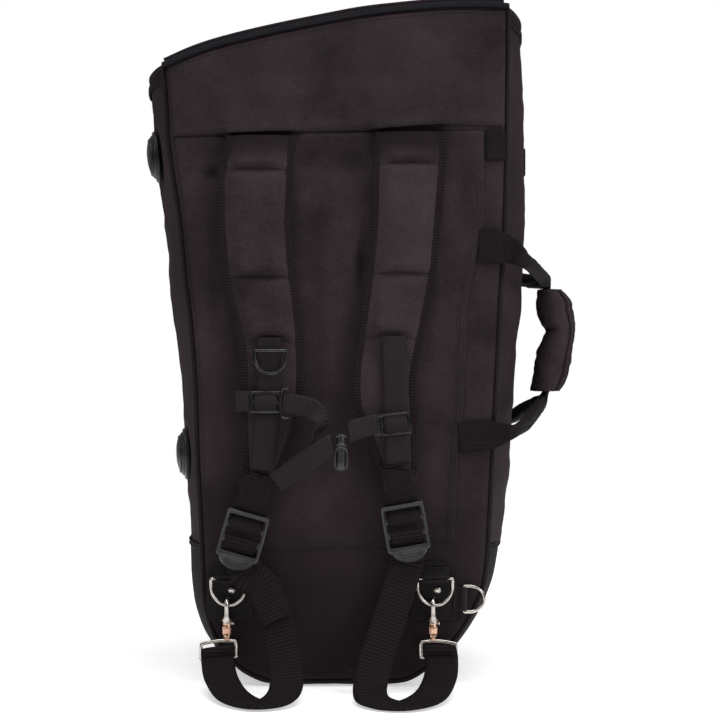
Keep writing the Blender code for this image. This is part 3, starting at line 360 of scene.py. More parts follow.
def webbing(name, stations, width, thick, mats, body, node=None, slot="webbing", rib=0.28, pitch=4.0, sample=0.8, droop=0.0,
            sway=0.0, seed=1.0, **k):
    P = [tuple(s[0]) + tuple(s[1]) for s in stations]
    dense = smooth_line(P, 10, dims=3, even=False)
    d = arc_len(dense[:, :3])
    n = max(12, int(d[-1] / sample))
    u = np.linspace(0, d[-1], n)
    C = np.stack([np.interp(u, d, dense[:, c]) for c in range(3)], 1)
    W = np.stack([np.interp(u, d, dense[:, c]) for c in range(3, 6)], 1)
    for _ in range(3):
        C[1:-1] = (C[:-2] + 2 * C[1:-1] + C[2:]) / 4
    w = width * (1 + 0.012 * np.sin(u / 17.0 + seed * 2)) if sway else width
    rings, uv, L = strip_rings(C, W, w, thick, rib=rib, pitch=pitch)
    return sweep(name, rings, mats, body, node, slot, uv=uv, **k)


def gathered(name, stations, mats, body, node=None, slot="webbing", around=44, sample=1.1, fold=0.16, seed=5.0, **k):
    """Webbing that is flat, gathered or rolled into a cord: stations are (centre, width direction, (width, thickness, squareness))."""
    P = [tuple(c) + tuple(w) + tuple(q) for c, w, q in stations]
    dense = smooth_line(P, 10, dims=3, even=False)
    d = arc_len(dense[:, :3])
    n = int(d[-1] / sample)
    u = np.linspace(0, d[-1], n)
    Q = np.stack([np.interp(u, d, dense[:, c]) for c in range(9)], 1)
    for _ in range(4):
        Q[1:-1] = (Q[:-2] + 2 * Q[1:-1] + Q[2:]) / 4
    C, W, wd, tk, sq = Q[:, :3], Q[:, 3:6], Q[:, 6], Q[:, 7], Q[:, 8]
    T = unit(np.gradient(C, axis=0))
    W = unit(W - T * np.sum(W * T, axis=1, keepdims=True))
    N = unit(np.cross(W, T))
    t = np.linspace(0, 2 * np.pi, around, endpoint=False)
    c, s_ = np.cos(t)[None], np.sin(t)[None]
    e = (2 / sq)[:, None]
    U = np.sign(c) * np.abs(c) ** e * (wd / 2)[:, None]
    V = np.sign(s_) * np.abs(s_) ** e * (tk / 2)[:, None]
    roll = np.clip((tk / wd - 0.12) / 0.35, 0, 1)[:, None]
    groove = 1 - roll * (fold * np.exp(-((np.mod(t, 2 * np.pi)[None] - 4.4 - 0.5 * np.sin(u / 31.0)[:, None]) / 0.22) ** 2)
                         + 0.6 * fold * np.exp(-((np.mod(t, 2 * np.pi)[None] - 1.5 - 0.4 * np.sin(u / 23.0 + 2)[:, None]) / 0.26) ** 2))
    base = C[:, None] + U[..., None] * W[:, None] + V[..., None] * N[:, None]
    lump = 1 + roll * wobble(base, 15, 0.09, seed)
    rings = C[:, None] + (groove * lump)[..., None] * (base - C[:, None])
    uv = np.stack([np.repeat(u, around), (np.tile(t, n) * np.repeat((wd + tk) / 3.6, around))], 1)
    return sweep(name, rings, mats, body, node, slot, uv=uv, **k)


def threads(name, lines, mat, body, pitch=3.6, length=2.5, r=0.42, lift=0.25, slot=None):
    """Rows of single stitches: each line is (points, outward direction or directions)."""
    V, F = [], []
    sides = 6
    prof = [(0.0, 0.15), (0.12, 0.8), (0.5, 1.0), (0.88, 0.8), (1.0, 0.15)]
    ang = np.linspace(0, 2 * np.pi, sides, endpoint=False)
    for pts, out in lines:
        P = np.asarray(pts, float)
        L = arc_len(P)
        if L[-1] < pitch:
            continue
        O = np.broadcast_to(np.asarray(out, float), P.shape)
        k = int(L[-1] // pitch)
        start = (L[-1] - k * pitch) / 2 + (pitch - length) / 2
        for i in range(k):
            a, b = start + i * pitch, start + i * pitch + length
            pa = np.array([np.interp(a, L, P[:, c]) for c in range(3)])
            pb = np.array([np.interp(b, L, P[:, c]) for c in range(3)])
            o = unit(np.array([np.interp((a + b) / 2, L, O[:, c]) for c in range(3)]))
            t = unit(pb - pa)
            s = unit(np.cross(o, t))
            base = len(V)
            for f, rr in prof:
                c = pa + (pb - pa) * f + o * (lift * math.sin(math.pi * f))
                for al in ang:
                    V.append(c + r * rr * (math.cos(al) * s + math.sin(al) * o * 0.8))
            for j in range(len(prof) - 1):
                for m in range(sides):
                    n2 = (m + 1) % sides
                    F.append((base + j * sides + m, base + j * sides + n2, base + (j + 1) * sides + n2, base + (j + 1) * sides + m))
            F.append(tuple(base + m for m in range(sides))[::-1])
            F.append(tuple(base + (len(prof) - 1) * sides + m for m in range(sides)))
    return put(name, np.array(V), F, mat, body, None, slot, fix=False)


def turned(name, profile, origin, axis, mats, body, node=None, slot=None, steps=48, angle=35, **k):
    """A turned piece: profile is (radius, height) along axis from origin."""
    z = unit(axis)
    x = unit(np.cross(z, (0.13, 0.2, 1.0) if abs(z[2]) < 0.9 else (1.0, 0, 0)))
    y = np.cross(z, x)
    a = np.linspace(0, 2 * np.pi, steps, endpoint=False)
    rings = [np.asarray(origin, float) + z * h + max(r, 0.02) * (np.cos(a)[:, None] * x + np.sin(a)[:, None] * y)
             for r, h in profile]
    return sweep(name, np.array(rings), mats, body, node, slot, angle=angle, **k)


def rounded(profile, n=5, r=0.6):
    """A profile of (radius, height) with its corners rounded."""
    P = [np.array(p, float) for p in profile]
    out = [P[0]]
    for a, b, c in zip(P, P[1:], P[2:]):
        d1, d2 = np.linalg.norm(a - b), np.linalg.norm(c - b)
        q = min(r, d1 * 0.45, d2 * 0.45)
        s, e = b + (a - b) / d1 * q, b + (c - b) / d2 * q
        out += [(1 - t) ** 2 * s + 2 * t * (1 - t) * b + t * t * e for t in np.linspace(0, 1, n)]
    out.append(P[-1])
    return [tuple(p) for p in out]


def plate(name, outlines, thick, origin, x, y, mats, body, node=None, bevel=0.5, res=3, angle=32, bend=None):
    """A flat outline with holes, extruded and rounded at its edges; x and y are its own directions."""
    c = bpy.data.curves.new(name + "_line", "CURVE")
    c.dimensions = "2D"
    c.fill_mode = "BOTH"
    c.extrude = (thick / 2 - bevel) * MM
    c.bevel_depth = bevel * MM
    c.bevel_resolution = res
    c.offset = -bevel * MM
    for line in outlines:
        s = c.splines.new("POLY")
        s.points.add(len(line) - 1)
        for p, q in zip(s.points, line):
            p.co = (q[0] * MM, q[1] * MM, 0.0, 1.0)
        s.use_cyclic_u = True
    tmp = bpy.data.objects.new(name + "_tmp", c)
    bpy.context.scene.collection.objects.link(tmp)
    bpy.context.view_layer.update()
    me = bpy.data.meshes.new_from_object(tmp.evaluated_get(bpy.context.evaluated_depsgraph_get()))
    bpy.data.objects.remove(tmp)
    bpy.data.curves.remove(c)
    me.name = name
    X, Y = unit(x), np.asarray(y, float)
    Z = unit(np.cross(X, Y))
    Y = np.cross(Z, X)
    co = np.zeros(len(me.vertices) * 3)
    me.vertices.foreach_get("co", co)
    co = co.reshape(-1, 3) / MM
    if bend:
        co[:, 2] += bend(co[:, 0], co[:, 1])
    P = np.asarray(origin, float) + co[:, :1] * X + co[:, 1:2] * Y + co[:, 2:3] * Z
    me.vertices.foreach_set("co", (P * MM).ravel())
    bm = bmesh.new()
    bm.from_mesh(me)
    bmesh.ops.remove_doubles(bm, verts=bm.verts[:], dist=1e-6)
    bmesh.ops.recalc_face_normals(bm, faces=bm.faces[:])
    bm.to_mesh(me)
    bm.free()
    me.materials.clear()
    for m in (mats if isinstance(mats, (list, tuple)) else [mats]):
        me.materials.append(m)
    me.shade_smooth()
    me.set_sharp_from_angle(angle=math.radians(angle))
    o = bpy.data.objects.new(name, me)
    bpy.context.scene.collection.objects.link(o)
    return dress(o, body, node)


def arc(cx, cy, r, a0, a1, n=8):
    return [(cx + r * math.cos(math.radians(a0 + (a1 - a0) * i / n)), cy + r * math.sin(math.radians(a0 + (a1 - a0) * i / n)))
            for i in range(n + 1)]


def round_rect(w, h, r, cx=0.0, cy=0.0, n=5):
    x, y = w / 2 - r, h / 2 - r
    return (arc(cx + x, cy + y, r, 0, 90, n) + arc(cx - x, cy + y, r, 90, 180, n) + arc(cx - x, cy - y, r, 180, 270, n)
            + arc(cx + x, cy - y, r, 270, 360, n))


# ---------------------------------------------------------------- materials
class Shade:
    def __init__(self, name):
        self.m = bpy.data.materials.new(name)
        self.m.use_nodes = True
        self.t = self.m.node_tree
        self.b = self.t.nodes["Principled BSDF"]

    def node(self, kind, **inputs):
        n = self.t.nodes.new(kind)
        for k, v in inputs.items():
            n.inputs[k].default_value = v
        return n

    def wire(self, a, b):
        self.t.links.new(a, b)

    def math(self, op, a, b=None, c=None):
        n = self.t.nodes.new("ShaderNodeMath")
        n.operation = op
        for i, v in enumerate((a, b, c)):
            if v is None:
                continue
            if isinstance(v, (int, float)):
                n.inputs[i].default_value = v
            else:
                self.wire(v, n.inputs[i])
        return n.outputs[0]

    def coords(self, kind="Object"):
        n = self.t.nodes.new("ShaderNodeTexCoord")
        return n.outputs[kind]

    def xyz(self, v):
        n = self.t.nodes.new("ShaderNodeSeparateXYZ")
        self.wire(v, n.inputs[0])
        return n.outputs

    def noise(self, v, scale, detail=3.0, rough=0.55, stretch=None):
        if stretch:
            mp = self.t.nodes.new("ShaderNodeMapping")
            mp.inputs["Scale"].default_value = stretch
            self.wire(v, mp.inputs["Vector"])
            v = mp.outputs[0]
        n = self.node("ShaderNodeTexNoise", Scale=scale, Detail=detail, Roughness=rough)
        self.wire(v, n.inputs["Vector"])
        return n.outputs["Fac"]

    def mix(self, fac, a, b):
        n = self.t.nodes.new("ShaderNodeMix")
        n.data_type = "RGBA"
        self.wire(fac, n.inputs["Factor"])
        for i, v in (("A", a), ("B", b)):
            sock = [s for s in n.inputs if s.name == i and s.type == "RGBA"][0]
            if isinstance(v, tuple):
                sock.default_value = (*v, 1.0)
            else:
                self.wire(v, sock)
        return [s for s in n.outputs if s.type == "RGBA"][0]

    def span(self, v, a, b, lo=0.0, hi=1.0):
        n = self.t.nodes.new("ShaderNodeMapRange")
        n.inputs["From Min"].default_value = a
        n.inputs["From Max"].default_value = b
        n.inputs["To Min"].default_value = lo
        n.inputs["To Max"].default_value = hi
        self.wire(v, n.inputs["Value"])
        return n.outputs[0]

    def bump(self, height, strength, distance):
        n = self.node("ShaderNodeBump", Strength=strength, Distance=distance)
        self.wire(height, n.inputs["Height"])
        self.wire(n.outputs[0], self.b.inputs["Normal"])

    def set(self, **k):
        for name, v in k.items():
            self.b.inputs[name.replace("_", " ")].default_value = v
        return self


def ripple(g, v, pitch_mm, phase=0.0):
    """A wave from 0 to 1 along a coordinate in metres."""
    s = g.math("SINE", g.math("MULTIPLY_ADD", v, 2 * math.pi / (pitch_mm * MM), phase))
    return g.math("MULTIPLY_ADD", s, 0.5, 0.5)


def nylon(name, light, dark, rib="Z", cross="XY", pitch=(1.7, 2.1), rough=0.74, sheen=0.05, bump=0.5, dust=0.05, spec=0.2, painted_shade_band=None):
    """Tight woven cloth: ribs along one direction, threads across, soft streaks and faint dust; an optional band of
    painted shade darkens it towards the dark tone between two heights.
    """
    g = Shade(name)
    co = g.coords()
    x = dict(zip("XYZ", g.xyz(co)))
    x["XY"] = g.math("ADD", x["X"], x["Y"])
    x["XZ"] = g.math("ADD", x["X"], x["Z"])
    jitter = g.math("ADD", g.math("MULTIPLY", g.noise(co, 700, 2), 0.0011), g.math("MULTIPLY", g.noise(co, 60, 2), 0.0016))
    ribs = ripple(g, g.math("ADD", x[rib], jitter), pitch[0])
    thr = ripple(g, g.math("ADD", x[cross], jitter), pitch[1])
    weave = g.math("ADD", g.math("MULTIPLY", ribs, 0.65), g.math("MULTIPLY", g.math("MULTIPLY", thr, ribs), 0.45))
    diag = ripple(g, g.math("ADD", g.math("ADD", x[rib], x[cross]), g.math("MULTIPLY", jitter, 1.4)), 3.1)
    stretch = (0.62, 0.62, 1.0) if rib == "Z" else (0.62, 1.0, 1.0)
    streak = g.noise(co, 430, 3, 0.65, stretch)
    cloud = g.noise(co, 10, 5, 0.62)
    slub = g.noise(co, 820, 2, 0.7, (0.45, 0.45, 1.0))
    fac = g.math("ADD", g.math("MULTIPLY", streak, 0.42), g.math("MULTIPLY", cloud, 0.95))
    fac = g.math("ADD", fac, g.math("ADD", g.math("MULTIPLY", weave, 0.10), g.math("MULTIPLY", slub, 0.26)))
    fac = g.math("ADD", fac, g.math("MULTIPLY", diag, 0.10))
    col = g.mix(g.span(fac, 0.66, 1.26), dark, light)
    lint = g.noise(co, 420, 5, 0.75)
    col = g.mix(g.math("MULTIPLY", g.span(lint, 0.66, 0.8), dust), col, (0.12, 0.11, 0.11))
    # painted shade: between the two heights the colour darkens towards the dark tone, its strength varied a little by
    # noise
    if painted_shade_band:
        painted_shade = g.math("MULTIPLY", g.span(x["Z"], painted_shade_band[0], painted_shade_band[1], 0.0, painted_shade_band[2]), g.span(g.noise(co, 14, 3), 0.2, 0.8, 0.8, 1.2))
        col = g.mix(painted_shade, col, dark)
    g.wire(col, g.b.inputs["Base Color"])
    g.wire(g.span(cloud, 0.2, 0.8, rough - 0.06, rough + 0.06), g.b.inputs["Roughness"])
    crease = g.noise(co, 38, 5, 0.62, (1.0, 1.0, 0.7))
    h = g.math("ADD", g.math("MULTIPLY", weave, 0.14), g.math("ADD", g.math("MULTIPLY", crease, 1.25), g.math("MULTIPLY", streak, 0.36)))
    h = g.math("ADD", h, g.math("MULTIPLY", diag, 0.12))
    g.bump(h, bump, 0.0011)
    return g.set(Sheen_Weight=sheen, Sheen_Roughness=0.45, Sheen_Tint=(0.95, 0.86, 0.9, 1.0), Specular_IOR_Level=spec).m


def web_cloth(name, light, dark, rib_pitch=4.0, thread=1.25, rough=0.62, sheen=0.06, slant=0.0, bump=0.6, spec=0.25):
    """Ribbed webbing: u runs along it and v across it, both in metres."""
    g = Shade(name)
    uv = g.xyz(g.coords("UV"))
    co = g.coords()
    u, v = uv[0], uv[1]
    us = g.math("MULTIPLY_ADD", v, slant, u) if slant else u
    ribs = g.math("ABSOLUTE", g.math("SINE", g.math("MULTIPLY", us, math.pi / (rib_pitch * MM))))
    chev = ripple(g, g.math("ADD", v, g.math("MULTIPLY", u, 0.6)), thread)
    cloud = g.noise(co, 30, 3)
    fuzz = g.noise(co, 1400, 3, 0.7)
    # the colour is darkest between the ribs: painted shade in the grooves, along with the threads' and the cloud's own
    # tone
    fac = g.math("ADD", g.math("MULTIPLY", ribs, 0.55), g.math("ADD", g.math("MULTIPLY", chev, 0.2), g.math("MULTIPLY", cloud, 0.3)))
    col = g.mix(g.span(fac, 0.15, 0.95), dark, light)
    g.wire(col, g.b.inputs["Base Color"])
    g.wire(g.span(fuzz, 0.2, 0.8, rough - 0.08, rough + 0.1), g.b.inputs["Roughness"])
    h = g.math("ADD", g.math("MULTIPLY", ribs, 0.5), g.math("ADD", g.math("MULTIPLY", chev, 0.35), g.math("MULTIPLY", fuzz, 0.2)))
    g.bump(h, bump, 0.0007)
    return g.set(Sheen_Weight=sheen, Sheen_Roughness=0.4, Specular_IOR_Level=spec).m


def plastic(name, light, dark, rough=0.32, grain=0.15, spec=0.5, wear=0.0):
    g = Shade(name)
    co = g.coords()
    cloud, fine = g.noise(co, 25, 4), g.noise(co, 900, 2)
    col = g.mix(g.span(cloud, 0.3, 0.7), dark, light)
    if wear:
        col = g.mix(g.math("MULTIPLY", g.span(g.noise(co, 160, 5, 0.8), 0.55, 0.75), wear), col, tuple(min(1, c * 3 + 0.05) for c in light))
    g.wire(col, g.b.inputs["Base Color"])
    g.wire(g.span(g.noise(co, 60, 3), 0.2, 0.8, rough - 0.07, rough + 0.1), g.b.inputs["Roughness"])
    g.bump(g.math("ADD", g.math("MULTIPLY", fine, grain), g.math("MULTIPLY", cloud, 0.3)), 0.35, 0.0003)
    return g.set(Specular_IOR_Level=spec).m


def metal(name, light, dark, rough=0.18, scratch=0.25):
    g = Shade(name)
    co = g.coords()
    cloud = g.noise(co, 70, 4)
    lines = g.noise(co, 500, 3, 0.6, (1.0, 1.0, 0.12))
    g.wire(g.mix(g.span(cloud, 0.3, 0.75), light, dark), g.b.inputs["Base Color"])
    g.wire(g.span(lines, 0.25, 0.8, rough - 0.05, rough + 0.12), g.b.inputs["Roughness"])
    g.bump(lines, scratch, 0.0001)
    return g.set(Metallic=1.0).m


def leather(name, light, dark, rough=0.42):
    g = Shade(name)
    co = g.coords()
    v = g.node("ShaderNodeTexVoronoi", Scale=900.0)
    g.wire(co, v.inputs["Vector"])
    cells = v.outputs["Distance"]
    cloud = g.noise(co, 60, 4)
    g.wire(g.mix(g.span(g.math("ADD", cells, cloud), 0.4, 1.2), dark, light), g.b.inputs["Base Color"])
    g.wire(g.span(cloud, 0.3, 0.7, rough - 0.08, rough + 0.1), g.b.inputs["Roughness"])
    g.bump(g.math("ADD", g.math("MULTIPLY", cells, 0.6), g.math("MULTIPLY", g.noise(co, 240, 4), 0.6)), 0.5, 0.0004)
    return g.set(Specular_IOR_Level=0.12).m


def plush(name, light, dark, rough=0.95):
    g = Shade(name)
    co = g.coords()
    fuzz, cloud = g.noise(co, 1100, 4, 0.8), g.noise(co, 22, 4)
    g.wire(g.mix(g.span(g.math("ADD", g.math("MULTIPLY", fuzz, 0.6), g.math("MULTIPLY", cloud, 0.5)), 0.3, 0.9), dark, light),
           g.b.inputs["Base Color"])
    g.wire(g.span(cloud, 0.3, 0.7, rough - 0.07, min(1.0, rough + 0.05)), g.b.inputs["Roughness"])
    g.bump(g.math("ADD", fuzz, g.math("MULTIPLY", cloud, 0.5)), 0.6, 0.0009)
    return g.set(Sheen_Weight=0.6, Sheen_Roughness=0.35, Specular_IOR_Level=0.2).m


def thread_mat(name, light, dark, rough=0.5):
    g = Shade(name)
    co = g.coords()
    twist = ripple(g, g.math("ADD", g.xyz(co)[0], g.math("ADD", g.xyz(co)[1], g.xyz(co)[2])), 0.7)
    g.wire(g.mix(g.math("ADD", g.math("MULTIPLY", twist, 0.6), g.math("MULTIPLY", g.noise(co, 300, 2), 0.5)), dark, light),
           g.b.inputs["Base Color"])
    g.wire(g.span(twist, 0.0, 1.0, rough - 0.08, rough + 0.08), g.b.inputs["Roughness"])
    g.bump(twist, 0.4, 0.0002)
    return g.set(Sheen_Weight=0.05, Specular_IOR_Level=0.2).m


# the shell cloth darkens towards the bottom: painted shade of the lower panels, which get less of the overhead light
NYLON = nylon("nylon_weave", (0.0448, 0.0322, 0.0366), (0.0130, 0.0093, 0.0108), bump=0.66, spec=0.04, sheen=0.0, painted_shade_band=(0.27, 0.02, 0.95))
NYLON_SIDE = nylon("nylon_side", (0.0400, 0.0275, 0.0315), (0.0130, 0.0088, 0.0102), rib="Z", cross="Y", spec=0.05, sheen=0.0, bump=0.6)
NYLON_TOP = nylon("nylon_top", (0.0380, 0.0250, 0.0298), (0.0130, 0.0083, 0.0102), rib="Y", cross="X", bump=0.6)
# the pads' cloth darkens over its top few centimetres: painted shadow cast by the yoke's lip
NYLON_PAD = nylon("nylon_pad", (0.0570, 0.0412, 0.0466), (0.0150, 0.0107, 0.0124), pitch=(1.9, 2.1), bump=0.55, spec=0.04, sheen=0.0,
                  painted_shade_band=(0.574, 0.600, 0.95))
# the base boot is very dark: partly its own colour and partly painted shade, darkened to stand for the underside
# curving away from the light
BOOT = nylon("boot_cloth", (0.0085, 0.0056, 0.0062), (0.0028, 0.0018, 0.0021), cross="Y", pitch=(1.3, 1.4), rough=0.7, sheen=0.0,
             spec=0.06, bump=0.5)
WEB = web_cloth("webbing_rib", (0.0148, 0.0102, 0.0118), (0.0018, 0.0012, 0.0014), spec=0.08, sheen=0.01, bump=0.9)
WEB_TAB = web_cloth("webbing_tab_weave", (0.0145, 0.0104, 0.0116), (0.0035, 0.0025, 0.0028), rib_pitch=1.7, thread=1.2, spec=0.08, sheen=0.01,
                    bump=0.8)
WEB_SMALL = web_cloth("webbing_small_rib", (0.0205, 0.0145, 0.0165), (0.0032, 0.0023, 0.0027), rib_pitch=3.2, thread=1.1, spec=0.16, sheen=0.03)
WEB_FINE = web_cloth("webbing_fine_weave", (0.0200, 0.0140, 0.0160), (0.0050, 0.0035, 0.0041), rib_pitch=1.7, thread=1.2, spec=0.14, sheen=0.03,
                     bump=0.7)
PAD_BINDING = web_cloth("pad_binding_tape", (0.0255, 0.0176, 0.0206), (0.0030, 0.0021, 0.0025), rib_pitch=3.3, thread=1.0, rough=0.75,
                        bump=0.9, spec=0.04, sheen=0.0)
BINDING = web_cloth("binding_tape", (0.0190, 0.0132, 0.0155), (0.0060, 0.0041, 0.0049), rib_pitch=1.9, thread=1.0, rough=0.68, bump=0.6,
                    spec=0.08, sheen=0.02)
# the lid band's blue tint is a painted sheen: it stands in for the pale surroundings reflected at a grazing angle, over
# the band's own near-black
LID_BAND = web_cloth("lid_band_twill", (0.0185, 0.0180, 0.0225), (0.0050, 0.0048, 0.0062), rib_pitch=2.6, slant=1.2, thread=1.3,
                     rough=0.72, sheen=0.0, spec=0.05)
EDGE_BAND = web_cloth("edge_band_twill", (0.0250, 0.0180, 0.0212), (0.0085, 0.0060, 0.0070), rib_pitch=2.6, slant=1.2, thread=1.3,
                      rough=0.75, sheen=0.0, spec=0.05)
ZIP = web_cloth("zip_tape_weave", (0.0250, 0.0182, 0.0210), (0.0100, 0.0072, 0.0083), rib_pitch=1.4, thread=0.9, rough=0.8, bump=0.3, spec=0.02,
                sheen=0.0)
COIL = plastic("zip_coil", (0.0150, 0.0112, 0.0128), (0.0070, 0.0052, 0.0060), rough=0.5, spec=0.12)
THREAD = thread_mat("stitch_thread", (0.0092, 0.0067, 0.0076), (0.0026, 0.0018, 0.0021))
THREAD_DARK = thread_mat("stitch_thread_dark", (0.0085, 0.0070, 0.0078), (0.0022, 0.0018, 0.0020))
LEATHER = leather("black_leather", (0.0098, 0.0076, 0.0082), (0.0034, 0.0026, 0.0028), rough=0.62)
PLASTIC = plastic("moulded_plastic", (0.0150, 0.0142, 0.0150), (0.0075, 0.0070, 0.0074), rough=0.32, wear=0.15)
# lighter copy of the plastic for rims, rails, the thumb tab and the buckle's bars: its light colour is partly wear and
# partly a painted highlight on their rounded edges
PLASTIC_WEAR_AND_HIGHLIGHT = plastic("moulded_plastic_wear_and_highlight", (0.0300, 0.0285, 0.0310), (0.0125, 0.0118, 0.0128), rough=0.30, wear=0.30)
FOOT = plastic("foot_rubber", (0.0150, 0.0145, 0.0155), (0.0075, 0.0072, 0.0078), rough=0.3, grain=0.08, spec=0.28)
NICKEL = metal("nickel_plate", (0.62, 0.58, 0.54), (0.26, 0.235, 0.22), rough=0.14, scratch=0.45)
NICKEL_WARM = metal("nickel_warm", (0.74, 0.50, 0.37), (0.40, 0.22, 0.15), rough=0.20, scratch=0.35)
GUN = metal("gunmetal", (0.066, 0.064, 0.068), (0.024, 0.023, 0.025), rough=0.25)
LINING = plush("lining_plush", (0.075, 0.075, 0.085), (0.035, 0.035, 0.040))

# ---------------------------------------------------------------- shell panels
NS, NT = 96, 150


def coons(left, right, bottom, top, ns, nt):
    """A grid over four edges: left and right run upwards, bottom and top run left to right."""
    s, t = np.linspace(0, 1, ns)[None, :, None], np.linspace(0, 1, nt)[:, None, None]
    L, R = left[:, None, :], right[:, None, :]
    B, T = bottom[None, :, :], top[None, :, :]
    return ((1 - s) * L + s * R + (1 - t) * B + t * T
            - ((1 - s) * (1 - t) * B[:, :1] + s * (1 - t) * B[:, -1:] + (1 - s) * t * T[:, :1] + s * t * T[:, -1:]))


def panel_grid():
    left = smooth_line(EDGE[:LOW_L + 1, :2][::-1], NT)
    right = smooth_line(EDGE[LOW_R:, :2], NT)
    bottom = smooth_line(EDGE[LOW_L:LOW_R + 1, :2], NS)
    top = smooth_line(TOPS, NS)
    s = np.linspace(0, 1, NS)
    s = s - 0.055 * np.sin(2 * np.pi * s)  # rows are closer together near the edges
    t = np.linspace(0, 1, NT)
    t = t - 0.03 * np.sin(2 * np.pi * t)
    pick = lambda line, u: np.stack([np.interp(u, np.linspace(0, 1, len(line)), line[:, c]) for c in range(2)], 1)
    G = coons(pick(left, t), pick(right, t), pick(bottom, s), pick(top, s), NS, NT)
    G2 = G.copy()
    S = s[None, :, None]
    Tt = t[:, None, None]
    L, R = pick(left, t)[:, None, :], pick(right, t)[:, None, :]
    B, T = pick(bottom, s)[None], pick(top, s)[None]
    G2 = ((1 - S) * L + S * R + (1 - Tt) * B + Tt * T
          - ((1 - S) * (1 - Tt) * B[:, :1] + S * (1 - Tt) * B[:, -1:] + (1 - S) * Tt * T[:, :1] + S * Tt * T[:, -1:]))
    return G2


PG = panel_grid()
px, pz = PG[..., 0], PG[..., 1]
_rim = np.concatenate([PG[0], PG[:, -1], PG[-1], PG[:, 0]])
_flat = PG.reshape(-1, 2)
dist = np.empty(len(_flat))
for i in range(0, len(_flat), 2000):
    q = _flat[i:i + 2000]
    dist[i:i + 2000] = np.sqrt(((q[:, None, :] - _rim[None]) ** 2).sum(-1).min(1))
dist = dist.reshape(px.shape)
round_off = np.sqrt(np.clip(1 - (1 - np.clip(dist / 8.0, 0, 1)) ** 2, 0, 1))

A = np.stack([px, BACK_Y + 5.0 - round_off * (5.0 + back_h(px, pz)), pz], -1)
B = np.stack([px, np.full_like(px, BACK_Y + PANEL_T), pz], -1)
shell("back_panel_padded", A, B, [NYLON, LINING, NYLON], "root", "back_panel", "nylon_shell")
A = np.stack([px, front_y(pz) - 5.0 + round_off * (5.0 + front_h(px, pz)), pz], -1)
B = np.stack([px, front_y(pz) - PANEL_T, pz], -1)
shell("front_panel_padded", A, B, [NYLON, LINING, NYLON], "root", "front_panel", "nylon_shell")


def wall_grid(i0, i1, nv=44, wrinkle=1.0, seed=10.0):
    E = EDGE[i0:i1 + 1]
    tan = unit(np.gradient(EDGE[:, :2], axis=0))[i0:i1 + 1]
    out = np.stack([tan[:, 1], -tan[:, 0]], 1)
    v = np.linspace(0, 1, nv)
    v = v - 0.06 * np.sin(2 * np.pi * v)
    y0 = BACK_Y + PANEL_T + GAP - 2.0
    y1 = front_y(np.maximum(E[:, 1], 0)) - PANEL_T - GAP + 2.0
    Y = y0 + (y1 - y0)[:, None] * v[None]
    amt = E[:, 2][:, None] * fullness(v)[None]
    P3 = np.stack([np.repeat(E[:, :1], nv, 1), Y, np.repeat(E[:, 1:2], nv, 1)], -1)
    calm = fullness(v)[None] * np.ones_like(amt)
    for fy, fz in ((-38, 595), (112, 595), (-38, 252), (92, 252)):
        near = np.hypot(Y - fy, P3[..., 2] - fz) < 900
        calm = np.where((E[:, :1] < -100) & near, calm * (1 - 0.85 * np.exp(-((Y - fy) ** 2 + (P3[..., 2] - fz) ** 2) / 45 ** 2)), calm)
    amt = amt + wrinkle * calm * (wobble(P3, 85, 3.0, seed, (1, 0.55, 1.3)) + wobble(P3, 34, 1.5, seed + 1, (1, 0.6, 1.6))
                                  + wobble(P3, 15, 0.5, seed + 2, (1, 0.7, 1.3)))
    for fy, fz in ((-38, 595), (112, 595), (-38, 252), (92, 252)):
        r2 = (Y - fy) ** 2 + (P3[..., 2] - fz) ** 2
        amt = np.where(E[:, :1] < -100, amt - 3.4 * np.exp(-(r2 / 33.0 ** 2) ** 2) + 1.2 * np.exp(-((np.sqrt(r2) - 44) / 9) ** 2), amt)
    XZ = E[:, None, :2] + out[:, None, :] * amt[..., None]
    z = XZ[..., 1]
    low = np.where(z < 0.6, 0.6 * np.exp(np.minimum(z - 0.6, 0) / 4.0) * 0.0 + 0.0, z)
    A = np.stack([XZ[..., 0], Y, np.maximum(low, 0.0)], -1)
    XI = E[:, None, :2] + out[:, None, :] * (amt - GUSSET_T)[..., None]
    B = np.stack([XI[..., 0], Y, np.maximum(XI[..., 1], GUSSET_T * 0.8)], -1)
    return A, B


I_BL = int(np.argmin(np.hypot(EDGE[:, 0] + 144, EDGE[:, 1] - 152)))
I_BR = int(np.argmin(np.hypot(EDGE[:, 0] - 166, EDGE[:, 1] - 152)))
A, B = wall_grid(0, I_BL, seed=10)
LEFT_WALL = A
shell("left_wall_padded", A, B, [NYLON_SIDE, LINING, NYLON_SIDE], "root", "left_gusset", "nylon_shell")
A, B = wall_grid(I_BR, len(EDGE) - 1, seed=20)
RIGHT_WALL = A
shell("right_wall_padded", A, B, [NYLON_SIDE, LINING, NYLON_SIDE], "root", "right_gusset", "nylon_shell")
A, B = wall_grid(I_BL, I_BR, wrinkle=0.5, seed=30)
BOOT_WALL = A
shell("base_boot_padded", A, B, [BOOT, LINING, BOOT], "root", "base_boot", "boot_cloth")

# binding tape and stitches where the base cloth meets the side walls
for tag, row in (("left", BOOT_WALL[0]), ("right", BOOT_WALL[-1])):
    P = smooth_line(row[1:-1], 220)
    side = -1 if tag == "left" else 1
    out = np.stack([np.full(len(P), side * 1.0), np.zeros(len(P)), np.zeros(len(P))], 1)
    T = unit(np.gradient(P, axis=0))
    N = unit(np.cross(T, (0, 0, 1.0))) * (1 if side > 0 else -1)
    N = np.where((N[:, :1] * side) < 0, -N, N)
    W = unit(np.cross(N, T))
    rings, uv, _ = strip_rings(P + N * 0.6, W, 7.0, 1.2, rib=0.0)
    sweep(f"boot_binding_{tag}", rings, BOOT, "root", slot="edge_binding", uv=uv)
    threads(f"boot_stitches_{tag}", [(P + N * 1.3 + W * q, N) for q in (-2.2, 2.2)], THREAD_DARK, "root")


